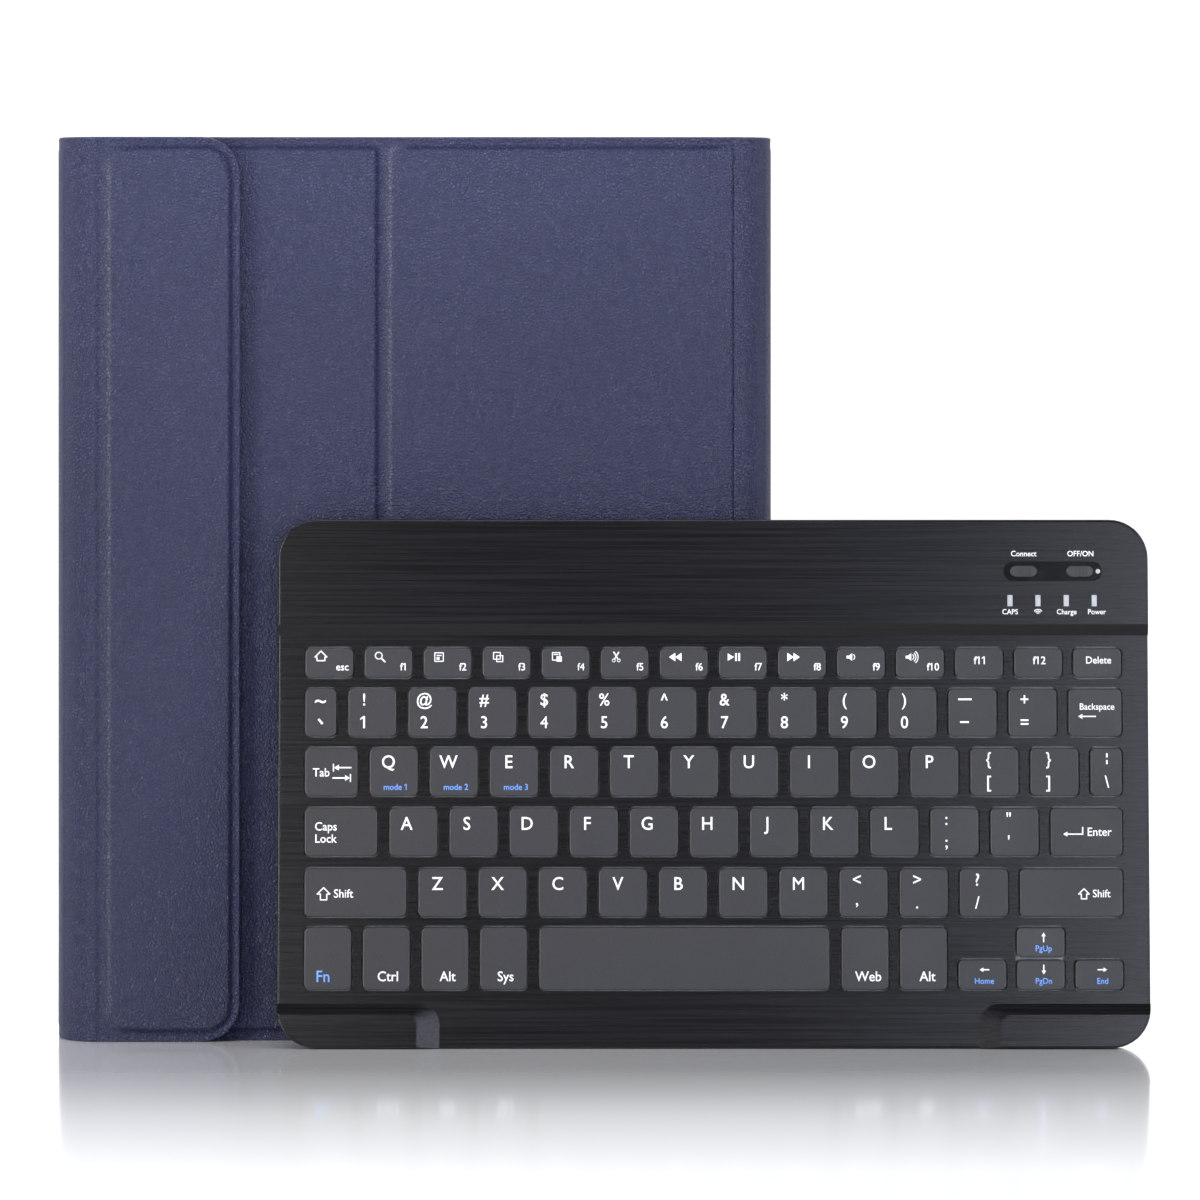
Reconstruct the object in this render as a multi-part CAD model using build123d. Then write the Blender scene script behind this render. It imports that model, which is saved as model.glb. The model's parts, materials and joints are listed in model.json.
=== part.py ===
from build123d import *
from math import cos, radians, sin
import os

# A closed leather folio for a tablet, standing on its short edge, and the separate
# wireless keyboard that leans against its front. Millimetres, +Z up, +X to the right,
# -Y towards the person who faces the keys. The origin is at the middle of the foot.

# --- Folio: driving dimensions -------------------------------------------------------

CASE_WIDTH = 204.0
CASE_HEIGHT = 257.0
CASE_DEPTH = 22.0
CASE_LEFT = -155.0

LEATHER = 0.8
BOARD = 1.4
LINING = 0.5
COVER = LEATHER + BOARD + LINING
ARC_SKIN = 1.3
FOLD_GAP = 1.0                    # degrees left free at each side of a fold

FLAP_BOARD = 1.2
FLAP_LINING = 0.6
FLAP = LEATHER + FLAP_BOARD + FLAP_LINING
FLAP_AIR = 0.2
FLAP_REACH = 52.85
FLAP_CORNER = 11.0
FLAP_BOARD_CORNER = 7.0

SPINE_RADIUS = CASE_DEPTH / 2
SPINE_X = CASE_WIDTH - SPINE_RADIUS
FLAP_SPINE_RADIUS = (CASE_DEPTH + FLAP + FLAP_AIR) / 2
FLAP_SPINE_X = FLAP_SPINE_RADIUS
FLAP_SPINE_Y = CASE_DEPTH - FLAP_SPINE_RADIUS

COVER_LEFT = 14.0
BOARD_MARGIN = 3.5
CREASE_LEFT = 91.2
CREASE_RIGHT = 95.6
SPINE_BOARD = 0.8
SPINE_BOARD_HALF_ANGLE = 35.0
FLAP_SPINE_BOARD = 0.6
REAR_BOARD = (17.0, 192.0)        # left and right ends of the rear cover's board
FLAP_BOARD_ENDS = (14.2, 49.8)

# The moulded tray that grips the tablet
ADHESIVE = 0.3
TRAY_FLOOR = 1.2
TRAY_WALL = 1.6
TRAY_LIP = 0.5
TRAY_LIP_DEPTH = 0.6
TRAY_RIM = 12.3
TRAY_LEFT = COVER_LEFT + LEATHER
TRAY_RIGHT = 192.5
TRAY_INSET = 1.4
TRAY_CORNER = 4.0
TRAY_BAY_CORNER = 6.0
TRAY_MOUTH_CORNER = 5.5
TRAY_CUT_OUT = (5.4, 10.6)        # front and back of the edge cut-outs
# Each cut-out's distance from the tray's middle, width, and the edge that it is in
TRAY_CUT_OUTS = (
    (0.0, 16.0, 0.0), (-52.0, 24.0, 0.0), (52.0, 24.0, 0.0),
    (60.0, 18.0, CASE_HEIGHT), (-60.0, 10.0, CASE_HEIGHT))
ADHESIVE_SIDE_MARGIN = 5.0
ADHESIVE_END_MARGIN = 6.0

CAMERA_X = 28.5
CAMERA_Z = 241.0
CAMERA_SIZE = 16.0
CAMERA_CORNER = 3.0
CAMERA_LAYER_MARGIN = 0.5

# Holding magnets and the steel plates that they close on
FLAP_MAGNET_HEIGHTS = (60.0, 128.5, 197.0)
FLAP_MAGNET_X = 43.0
FLAP_MAGNET_WIDTH = 6.0
FLAP_MAGNET_LENGTH = 22.0
CATCH_THICKNESS = 0.6
CATCH_AIR = 0.05
KEYBOARD_MAGNET_X = (40.0, 165.0)
KEYBOARD_MAGNET_Z = (45.0, 212.0)
KEYBOARD_MAGNET = (8.0, 1.1, 24.0)

# --- Keyboard: driving dimensions ----------------------------------------------------
# Measured on the flat keyboard: U to the right, V away from the user, W up from its back.

KEYBOARD_WIDTH = 246.0
KEYBOARD_HEIGHT = 148.5
KEYBOARD_LEFT = -91.0
KEYBOARD_CORNER = 11.0
LEAN = 4.0                        # degrees from upright
LEAN_AIR = 0.5

SHELL_WALL = 1.4
BACK_THICKNESS = 0.9
PARTING = 2.4
DECK_INSIDE = 3.4
DECK_TOP = 4.6
BAND_INSIDE = 5.2
BAND_TOP = 6.4
BAND_START = 115.8
BAND_SLOPE = 3.2
PAD_TOP = 5.5
PAD_DEPTH = 12.4
PAD_SLOPE = 3.0
LEFT_PAD_END = 39.4
RIGHT_PAD_START = 203.9
PAD_RAMP = 6.4
PAD_FOOT_CORNER = 6.0
PAD_TOP_CORNER = 3.0
EDGE_ROUND = 0.7
EDGE_CHAMFER = 0.8

KEY_MARGIN = 7.75
KEY_PITCH = 16.95
KEY_WIDTH = 13.6
KEY_HEIGHT = 13.5
KEY_GAP = KEY_PITCH - KEY_WIDTH
KEY_CLEARANCE = 0.45
KEY_CORNER = 1.6
KEY_EDGE = 0.45
KEY_SKIRT = 3.0
KEY_CEILING = 4.9
KEY_TOP = 5.9
KEY_WALL = 1.0
HOMING_BAR = (3.2, 0.55, 0.25)

FUNCTION_ROW = 103.9
FUNCTION_HEIGHT = 8.3
FUNCTION_PITCH = 16.69
NUMBER_ROW = 87.3
UPPER_ROW = 70.6
HOME_ROW = 53.75
LOWER_ROW = 36.75
BOTTOM_ROW = 16.3
BOTTOM_HEIGHT = 17.5
ARROW_HEIGHT = 8.4
ARROW_GAP = 0.7

BACK_PLATE = 0.3
MEMBRANE = 0.2
DOME_HEIGHT = 1.95
DOME_FOOT = 2.6
DOME_CROWN = 1.5

SLOT_CENTRE = (219.0, 133.9)
SLOT_LENGTH = 27.8
SLOT_WIDTH = 5.5
BEZEL_BOTTOM = 4.5
KNOB_BOTTOM = 5.25
KNOB_TOP = 6.3
KNOB_LENGTH = 7.6
KNOB_WIDTH = 3.3
KNOB_TRAVEL = 2.0
CONNECT_U = 210.8
POWER_U = 226.7
WINDOW_CENTRES = (206.9, 214.8, 222.8, 230.7)
WINDOW_V = 125.6
WINDOW_SIZE = (1.4, 3.1)

LAYER_AREA = (6.0, KEYBOARD_WIDTH - 6.0, 15.0, BAND_START)
CIRCUIT_BOTTOM = 1.6
CIRCUIT_TOP = 2.4
CIRCUIT_AREA = (150.0, 236.0, 121.4, 145.2)
CIRCUIT_RESTS = ((156.0, 124.0), (156.0, 142.0), (230.0, 124.0), (230.0, 142.0))
REST_RADIUS = 1.5
BATTERY_AREA = (20.0, 110.0, 122.6, 145.6)
BATTERY_TOP = 4.3
BATTERY_ROUND = 1.2
SOCKET_U = 205.0
SOCKET_WIDTH = 7.5
SOCKET_HEIGHT = 2.5
SOCKET_WALL = 0.4
SOCKET_BACK = 142.2
SOCKET_FRONT = 147.7
TONGUE_WIDTH = 4.8
TONGUE_LEVELS = (1.0, 1.5)
SWITCH_TOP = 4.0
SCREWS = ((8.0, 8.0), (123.0, 8.0), (238.0, 8.0), (8.0, 133.0), (130.0, 133.0), (240.6, 133.0))
SCREW_HEAD = 0.6
SCREW_HEAD_THICKNESS = 0.45
SCREW_HEAD_RADIUS = 1.6
SCREW_SHANK_RADIUS = 0.75
SCREW_BOSS_RADIUS = 2.0
FEET = ((22.0, 12.0), (224.0, 12.0), (22.0, 138.0), (224.0, 138.0))
FOOT_RADIUS = 4.0
FOOT_HEIGHT = 0.6

# --- Placing -------------------------------------------------------------------------

KEYBOARD_FRONT = -(KEYBOARD_HEIGHT * sin(radians(LEAN)) + LEAN_AIR)
KEYBOARD_LIFT = -EDGE_CHAMFER * sin(radians(LEAN))

nodes = {}


def block(x0, x1, y0, y1, z0, z1):
    """A box between two corners."""
    size = Box(x1 - x0, y1 - y0, z1 - z0)
    return Pos((x0 + x1) / 2, (y0 + y1) / 2, (z0 + z1) / 2) * size


def rounded_block(x0, x1, y0, y1, z0, z1, radius):
    """A box with its four upright edges rounded."""
    body = block(x0, x1, y0, y1, z0, z1)
    return fillet(body.edges().filter_by(Axis.Z), radius)


def arc_strip(centre, outer, thickness, start, end, z0, z1):
    """A slice of tube wall about an upright axis, between two angles in degrees."""
    outside = CenterArc(centre, outer, start, end - start)
    inside = CenterArc(centre, outer - thickness, start, end - start)
    first = Line(inside @ 0, outside @ 0)
    last = Line(outside @ 1, inside @ 1)
    face = make_face(outside + last + inside + first)
    return Pos(0, 0, z0) * extrude(face, amount=z1 - z0)


def joined(pieces):
    """Several separate solids as one node."""
    return Compound(children=list(pieces))


# --- Folio ---------------------------------------------------------------------------

RIGHT_ARC = (SPINE_X, SPINE_RADIUS)
LEFT_ARC = (FLAP_SPINE_X, FLAP_SPINE_Y)


def leather_arc(centre, radius, start, end):
    """Curved leather of a spine, as tall as the case."""
    return arc_strip(centre, radius, ARC_SKIN, start, end, 0, CASE_HEIGHT)


def camera_hole(y0, y1, margin):
    """The camera window's hole through one layer."""
    half = CAMERA_SIZE / 2 + margin
    corners = (CAMERA_X - half, CAMERA_X + half, y0, y1, CAMERA_Z - half, CAMERA_Z + half)
    hole = block(*corners)
    return fillet(hole.edges().filter_by(Axis.Y), CAMERA_CORNER + margin)


def tablet_cover():
    """Front cover: a leather pan, two boards with the stand's crease between, a lining."""
    hollow = block(TRAY_LEFT, SPINE_X, LEATHER, COVER, LEATHER, CASE_HEIGHT - LEATHER)
    pan = block(COVER_LEFT, SPINE_X, 0, COVER, 0, CASE_HEIGHT) - hollow
    skin = pan + leather_arc(RIGHT_ARC, SPINE_RADIUS, -90, -45 - FOLD_GAP)
    nodes["tablet_cover_skin"] = skin - camera_hole(-1, COVER, 0)

    top = CASE_HEIGHT - BOARD_MARGIN
    board_back = LEATHER + BOARD
    left_board = block(COVER_LEFT + BOARD_MARGIN, CREASE_LEFT, LEATHER, board_back, BOARD_MARGIN, top)
    plates = []
    for height in FLAP_MAGNET_HEIGHTS:
        plates.append(catch_plate(height, CATCH_AIR, 0))
        left_board -= catch_plate(height, 0, CATCH_AIR)
    nodes["tablet_board_upper"] = left_board - camera_hole(0, board_back + 1, CAMERA_LAYER_MARGIN)
    nodes["flap_catch_plates"] = joined(plates)

    right = SPINE_X - 0.2
    nodes["tablet_board_lower"] = block(CREASE_RIGHT, right, LEATHER, board_back, BOARD_MARGIN, top)
    lining = block(TRAY_LEFT, right, board_back, COVER, LEATHER, CASE_HEIGHT - LEATHER)
    nodes["tablet_cover_lining"] = lining - camera_hole(0, COVER + 1, CAMERA_LAYER_MARGIN)
    side, end = ADHESIVE_SIDE_MARGIN, ADHESIVE_END_MARGIN
    adhesive = block(
        TRAY_LEFT + side, TRAY_RIGHT - side, COVER, COVER + ADHESIVE, end, CASE_HEIGHT - end)
    nodes["tray_adhesive"] = adhesive - camera_hole(0, TRAY_RIM, CAMERA_LAYER_MARGIN)


def catch_plate(height, front_air, back_air):
    """A thin steel plate, or its pocket, behind the front leather where a flap magnet lands."""
    half_width = FLAP_MAGNET_WIDTH / 2 + 1
    half_length = FLAP_MAGNET_LENGTH / 2 + 1
    return block(
        FLAP_MAGNET_X - half_width, FLAP_MAGNET_X + half_width,
        LEATHER + front_air, LEATHER + CATCH_AIR + CATCH_THICKNESS + back_air,
        height - half_length, height + half_length)


def tablet_tray():
    """Moulded tray: a floor, four walls with a small inward lip, and the tablet's cut-outs."""
    back = COVER + ADHESIVE
    bottom, top = TRAY_INSET, CASE_HEIGHT - TRAY_INSET
    tray = block(TRAY_LEFT, TRAY_RIGHT, back, TRAY_RIM, bottom, top)
    tray = fillet(tray.edges().filter_by(Axis.Y), TRAY_CORNER)
    wall = TRAY_WALL
    bay = block(
        TRAY_LEFT + wall, TRAY_RIGHT - wall, back + TRAY_FLOOR, TRAY_RIM - TRAY_LIP_DEPTH,
        bottom + wall, top - wall)
    tray -= fillet(bay.edges().filter_by(Axis.Y), TRAY_BAY_CORNER)
    rim = wall + TRAY_LIP
    mouth = block(TRAY_LEFT + rim, TRAY_RIGHT - rim, back + wall, TRAY_RIM + 1, bottom + rim, top - rim)
    tray -= fillet(mouth.edges().filter_by(Axis.Y), TRAY_MOUTH_CORNER)
    middle = (TRAY_LEFT + TRAY_RIGHT) / 2
    past_wall = TRAY_INSET + TRAY_WALL + 1
    for offset, width, end in TRAY_CUT_OUTS:
        centre = middle + offset
        tray -= block(
            centre - width / 2, centre + width / 2, *TRAY_CUT_OUT, end - past_wall, end + past_wall)
    nodes["tablet_tray"] = tray - camera_hole(0, back + TRAY_FLOOR + 0.5, CAMERA_LAYER_MARGIN)


def spine():
    """Half-round spine between the two covers, with its strip stiffener."""
    bend = 45 - FOLD_GAP
    nodes["spine_skin"] = leather_arc(RIGHT_ARC, SPINE_RADIUS, -bend, bend)
    half = SPINE_BOARD_HALF_ANGLE
    nodes["spine_board"] = arc_strip(
        RIGHT_ARC, SPINE_RADIUS - ARC_SKIN, SPINE_BOARD, -half, half,
        BOARD_MARGIN, CASE_HEIGHT - BOARD_MARGIN)


def keyboard_cover():
    """Rear cover: a leather pan, one board with the keyboard's magnets, a lining."""
    inner = CASE_DEPTH - COVER
    leather_inside = CASE_DEPTH - LEATHER
    left, right = FLAP_SPINE_X + LEATHER, SPINE_X - LEATHER
    hollow = block(left, right, inner, leather_inside, LEATHER, CASE_HEIGHT - LEATHER)
    pan = block(FLAP_SPINE_X, SPINE_X, inner, CASE_DEPTH, 0, CASE_HEIGHT) - hollow
    right_arc = leather_arc(RIGHT_ARC, SPINE_RADIUS, 45 + FOLD_GAP, 90)
    left_arc = leather_arc(LEFT_ARC, FLAP_SPINE_RADIUS, 90, 135 - FOLD_GAP)
    nodes["keyboard_cover_skin"] = pan + right_arc + left_arc

    board_front = inner + LINING
    board = block(*REAR_BOARD, board_front, leather_inside, BOARD_MARGIN, CASE_HEIGHT - BOARD_MARGIN)
    width, depth, length = KEYBOARD_MAGNET
    magnets = []
    for x in KEYBOARD_MAGNET_X:
        for z in KEYBOARD_MAGNET_Z:
            spot = Pos(x, board_front + depth / 2, z)
            magnets.append(spot * Box(width, depth, length))
    for magnet in magnets:
        board -= magnet
    nodes["keyboard_cover_board"] = board
    nodes["keyboard_cover_magnets"] = joined(magnets)
    nodes["keyboard_cover_lining"] = block(left, right, inner, board_front, LEATHER, CASE_HEIGHT - LEATHER)


def flap_spine():
    """Half-round left edge that carries the flap round to the front."""
    skin = leather_arc(LEFT_ARC, FLAP_SPINE_RADIUS, 135 + FOLD_GAP, 225 - FOLD_GAP)
    nodes["flap_spine_skin"] = skin
    half = SPINE_BOARD_HALF_ANGLE
    nodes["flap_spine_board"] = arc_strip(
        LEFT_ARC, FLAP_SPINE_RADIUS - ARC_SKIN, FLAP_SPINE_BOARD, 180 - half, 180 + half,
        BOARD_MARGIN, CASE_HEIGHT - BOARD_MARGIN)


def flap_layer(x0, x1, y0, y1, inset, corner):
    """One layer of the flap, with its two free corners rounded."""
    layer = block(x0, x1, y0, y1, inset, CASE_HEIGHT - inset)
    free_corners = layer.edges().filter_by(Axis.Y).group_by(Axis.X)[-1]
    return fillet(free_corners, corner)


def flap():
    """Closing flap that wraps over the front: leather, board with magnets, lining."""
    front = -FLAP_AIR - FLAP
    leather_inside = front + LEATHER
    board_inside = leather_inside + FLAP_BOARD
    outer = flap_layer(FLAP_SPINE_X, FLAP_REACH, front, -FLAP_AIR, 0, FLAP_CORNER)
    hollow = flap_layer(
        FLAP_SPINE_X + LEATHER, FLAP_REACH - LEATHER, leather_inside, -FLAP_AIR,
        LEATHER, FLAP_CORNER - LEATHER)
    arc = leather_arc(LEFT_ARC, FLAP_SPINE_RADIUS, 225 + FOLD_GAP, 270)
    nodes["flap_skin"] = (outer - hollow) + arc

    board = flap_layer(
        *FLAP_BOARD_ENDS, leather_inside, board_inside, BOARD_MARGIN, FLAP_BOARD_CORNER)
    magnets = []
    for height in FLAP_MAGNET_HEIGHTS:
        magnet = Box(FLAP_MAGNET_WIDTH, FLAP_BOARD, FLAP_MAGNET_LENGTH)
        magnets.append(Pos(FLAP_MAGNET_X, leather_inside + FLAP_BOARD / 2, height) * magnet)
    for magnet in magnets:
        board -= magnet
    nodes["flap_board"] = board
    nodes["flap_magnets"] = joined(magnets)
    nodes["flap_lining"] = flap_layer(
        FLAP_SPINE_X + LEATHER, FLAP_REACH - LEATHER, board_inside, -FLAP_AIR,
        LEATHER, FLAP_CORNER - LEATHER)


# --- Keyboard ------------------------------------------------------------------------


def key_layout():
    """Left edge, front edge, width and height of every key, by node."""
    layout = {}

    def row(first, group, last, first_width, count, bottom):
        start = KEY_MARGIN + first_width + KEY_GAP
        end = start + count * KEY_PITCH
        layout[first] = [(KEY_MARGIN, bottom, first_width, KEY_HEIGHT)]
        layout[group] = [(start + i * KEY_PITCH, bottom, KEY_WIDTH, KEY_HEIGHT) for i in range(count)]
        layout[last] = [(end, bottom, KEYBOARD_WIDTH - KEY_MARGIN - end, KEY_HEIGHT)]

    row("grave_key", "number_row_keys", "backspace_key", 8.8, 12, NUMBER_ROW)
    row("tab_key", "upper_letter_keys", "backslash_key", 14.9, 12, UPPER_ROW)
    row("caps_lock_key", "home_letter_keys", "enter_key", 20.5, 11, HOME_ROW)
    row("left_shift_key", "lower_letter_keys", "right_shift_key", 28.7, 10, LOWER_ROW)

    function_width = KEYBOARD_WIDTH - 2 * KEY_MARGIN - 13 * FUNCTION_PITCH
    function_keys = [
        (KEY_MARGIN + i * FUNCTION_PITCH, FUNCTION_ROW, function_width, FUNCTION_HEIGHT)
        for i in range(14)]
    layout["escape_key"] = function_keys[:1]
    layout["function_row_keys"] = function_keys[1:13]
    layout["delete_key"] = function_keys[13:]

    bottom_lefts = {
        "fn_key": 7.75, "control_key": 24.25, "left_alt_key": 40.75, "system_key": 57.25,
        "browser_key": 159.0, "right_alt_key": 175.45}
    for name, left in bottom_lefts.items():
        layout[name] = [(left, BOTTOM_ROW, 13.2, BOTTOM_HEIGHT)]
    layout["space_bar"] = [(73.9, BOTTOM_ROW, 81.7, BOTTOM_HEIGHT)]
    arrow_lefts = {"left_arrow_key": 191.9, "down_arrow_key": 208.35, "right_arrow_key": 224.8}
    for name, left in arrow_lefts.items():
        layout[name] = [(left, BOTTOM_ROW, 13.45, ARROW_HEIGHT)]
    up_bottom = BOTTOM_ROW + ARROW_HEIGHT + ARROW_GAP
    layout["up_arrow_key"] = [(208.35, up_bottom, 13.45, ARROW_HEIGHT)]
    return layout


def keycap(width, height):
    """Hollow cap with rounded corners and a softened top edge, its corner at the origin."""
    cap = rounded_block(0, width, 0, height, KEY_SKIRT, KEY_TOP, KEY_CORNER)
    cap = fillet(cap.faces().sort_by(Axis.Z)[-1].edges(), KEY_EDGE)
    inside = block(KEY_WALL, width - KEY_WALL, KEY_WALL, height - KEY_WALL, KEY_SKIRT - 1, KEY_CEILING)
    return cap - inside


def key_groups(layout):
    """Every keycap, a node for each key that has its own shape and one for each letter row."""
    homing_keys = (3, 6)
    bar_width, bar_height, bar_rise = HOMING_BAR
    for name, keys in layout.items():
        caps = []
        for index, (left, bottom, width, height) in enumerate(keys):
            cap = keycap(width, height)
            if name == "home_letter_keys" and index in homing_keys:
                bar = Box(bar_width, bar_height, 2 * bar_rise)
                cap += Pos(width / 2, 2.4, KEY_TOP) * bar
            caps.append(Pos(left, bottom, 0) * cap)
        nodes[name] = caps[0] if len(caps) == 1 else joined(caps)


def outline(inset, w0, w1):
    """The keyboard's rounded outline, moved inwards, between two heights."""
    return rounded_block(
        inset, KEYBOARD_WIDTH - inset, inset, KEYBOARD_HEIGHT - inset, w0, w1,
        KEYBOARD_CORNER - inset)


def level(top):
    """The upper shell's outside up to one height, with its top edge rounded."""
    body = outline(0, PARTING, top)
    return fillet(body.faces().sort_by(Axis.Z)[-1].edges(), EDGE_ROUND)


def band_prism():
    """The raised band's side view, along the whole width: it slopes down to the deck."""
    side = make_face(Polyline(
        (0, BAND_START, 0), (0, KEYBOARD_HEIGHT, 0), (0, KEYBOARD_HEIGHT, BAND_TOP),
        (0, BAND_START + BAND_SLOPE, BAND_TOP), (0, BAND_START, DECK_TOP), close=True))
    return extrude(side, amount=KEYBOARD_WIDTH, dir=(1, 0, 0))


def pad_outline(low_u, high_u, depth, corner, w):
    """A corner pad's outline at one height, with its inner upper corner rounded."""
    low_v = -PAD_DEPTH
    centre = ((low_u + high_u) / 2, (low_v + depth) / 2, w)
    face = Pos(*centre) * Rectangle(high_u - low_u, depth - low_v)
    middle = KEYBOARD_WIDTH / 2
    upper = face.vertices().group_by(Axis.Y)[-1]
    inner = min(upper, key=lambda vertex: abs(vertex.X - middle))
    return fillet(inner, corner)


def pad_prism(foot, top):
    """A raised corner pad that ramps down to the deck at its inner end and upper edge."""
    lower = pad_outline(*foot, PAD_DEPTH, PAD_FOOT_CORNER, DECK_TOP)
    upper = pad_outline(*top, PAD_DEPTH - PAD_SLOPE, PAD_TOP_CORNER, PAD_TOP)
    return loft([lower, upper]) + extrude(lower, amount=-DECK_TOP)


def key_openings(layout):
    """Openings in the deck, one for each key. The up and down keys share one."""
    openings = []
    for name, keys in layout.items():
        if name == "up_arrow_key":
            continue
        for left, bottom, width, height in keys:
            if name == "down_arrow_key":
                height = 2 * ARROW_HEIGHT + ARROW_GAP
            gap = KEY_CLEARANCE
            openings.append(rounded_block(
                left - gap, left + width + gap, bottom - gap, bottom + height + gap,
                PARTING, DECK_TOP + 1, KEY_CORNER + gap))
    return openings


def stadium(centre, length, width, w0, w1):
    """A bar with round ends, along U."""
    u, v = centre
    shape = SlotOverall(length, width)
    return Pos(u, v, w0) * extrude(shape, amount=w1 - w0)


def boss(u, v, radius, w0, w1):
    """An upright cylinder between two heights."""
    return Pos(u, v, (w0 + w1) / 2) * Cylinder(radius, w1 - w0)


def socket_hole():
    """The charging socket's opening through the upper edge."""
    return block(
        SOCKET_U - 4.2, SOCKET_U + 4.2, KEYBOARD_HEIGHT - 3, KEYBOARD_HEIGHT + 1,
        CIRCUIT_TOP - 0.2, CIRCUIT_TOP + 2.7)


def top_case(layout):
    """Upper shell with its raised band, corner pads, key openings and screw bosses."""
    shell = level(DECK_TOP)
    shell += level(BAND_TOP) & band_prism()
    past_left, past_right = -PAD_DEPTH, KEYBOARD_WIDTH + PAD_DEPTH
    left_pad = pad_prism((past_left, LEFT_PAD_END + PAD_RAMP), (past_left, LEFT_PAD_END))
    right_pad = pad_prism((RIGHT_PAD_START - PAD_RAMP, past_right), (RIGHT_PAD_START, past_right))
    shell += level(PAD_TOP) & left_pad
    shell += level(PAD_TOP) & right_pad

    under_band = BAND_START + BAND_SLOPE + SHELL_WALL
    above = block(0, KEYBOARD_WIDTH, under_band, KEYBOARD_HEIGHT, 0, BAND_INSIDE)
    shell -= outline(SHELL_WALL, PARTING - 1, DECK_INSIDE)
    shell -= outline(SHELL_WALL, PARTING - 1, BAND_INSIDE) & above
    shell -= key_openings(layout)

    for u, v in SCREWS:
        ceiling = BAND_INSIDE if v > BAND_START else DECK_INSIDE
        shell += boss(u, v, SCREW_BOSS_RADIUS, BACK_THICKNESS, ceiling + 0.1)
        shell -= boss(u, v, SCREW_SHANK_RADIUS + 0.05, BACK_THICKNESS, DECK_INSIDE - 0.1)
    shell -= stadium(SLOT_CENTRE, SLOT_LENGTH, SLOT_WIDTH, DECK_TOP, BAND_TOP + 1)
    width, height = WINDOW_SIZE
    for u in WINDOW_CENTRES:
        window = Box(width + 0.1, height + 0.1, 4)
        shell -= Pos(u, WINDOW_V, BAND_TOP) * window
    nodes["top_case"] = shell - socket_hole()


def bottom_case():
    """Lower shell: a flat back with a low rim, screw holes and rests for the circuit board."""
    body = outline(0, 0, PARTING)
    body = chamfer(body.faces().sort_by(Axis.Z)[0].edges(), EDGE_CHAMFER)
    body -= outline(SHELL_WALL, BACK_THICKNESS, PARTING + 1)
    for u, v in CIRCUIT_RESTS:
        body += boss(u, v, REST_RADIUS, BACK_THICKNESS - 0.1, CIRCUIT_BOTTOM)
    for u, v in SCREWS:
        body -= boss(u, v, SCREW_HEAD_RADIUS + 0.1, -1, SCREW_HEAD)
        body -= boss(u, v, SCREW_SHANK_RADIUS + 0.15, -1, PARTING)
    nodes["bottom_case"] = body - socket_hole()


def inner_layers(layout):
    """Steel back plate, membrane circuit and a rubber dome under each key."""
    plate_top = BACK_THICKNESS + BACK_PLATE
    membrane_top = plate_top + MEMBRANE
    nodes["back_plate"] = block(*LAYER_AREA, BACK_THICKNESS, plate_top)
    nodes["membrane_sheet"] = block(*LAYER_AREA, plate_top, membrane_top)
    dome = Pos(0, 0, membrane_top + DOME_HEIGHT / 2) * Cone(DOME_FOOT, DOME_CROWN, DOME_HEIGHT)
    domes = []
    for keys in layout.values():
        for left, bottom, width, height in keys:
            domes.append(Pos(left + width / 2, bottom + height / 2, 0) * dome)
    nodes["rubber_domes"] = joined(domes)


def electronics():
    """Circuit board, battery, charging socket, slide switches and indicator windows."""
    nodes["circuit_board"] = block(*CIRCUIT_AREA, CIRCUIT_BOTTOM, CIRCUIT_TOP)
    battery = block(*BATTERY_AREA, BACK_THICKNESS, BATTERY_TOP)
    nodes["battery"] = fillet(battery.edges().filter_by(Axis.X), BATTERY_ROUND)

    def socket_block(width, v0, v1, bottom, top):
        half = width / 2
        return block(
            SOCKET_U - half, SOCKET_U + half, v0, v1, CIRCUIT_TOP + bottom, CIRCUIT_TOP + top)

    wall = SOCKET_WALL
    socket = socket_block(SOCKET_WIDTH, SOCKET_BACK, SOCKET_FRONT, 0, SOCKET_HEIGHT)
    throat = socket_block(
        SOCKET_WIDTH - 2 * wall, SOCKET_BACK + 1, SOCKET_FRONT + 1, wall, SOCKET_HEIGHT - wall)
    tongue = socket_block(TONGUE_WIDTH, SOCKET_BACK + wall, SOCKET_FRONT - 0.8, *TONGUE_LEVELS)
    nodes["charging_port"] = (socket - throat) + tongue

    v = SLOT_CENTRE[1]
    switches = []
    for u in (CONNECT_U, POWER_U):
        switches.append(block(u - 4, u + 6, v - 2.5, v + 2.5, CIRCUIT_TOP, SWITCH_TOP))
    nodes["switch_modules"] = joined(switches)

    width, height = WINDOW_SIZE
    windows = []
    for u in WINDOW_CENTRES:
        light_pipe = Pos(u, WINDOW_V, (BEZEL_BOTTOM + BAND_TOP) / 2) * Box(
            width, height, BAND_TOP - BEZEL_BOTTOM)
        flange = block(
            u - width, u + width, WINDOW_V - 1.9, WINDOW_V + 1.9, BEZEL_BOTTOM, BAND_INSIDE)
        windows.append(light_pipe + flange)
    nodes["led_windows"] = joined(windows)


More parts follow.
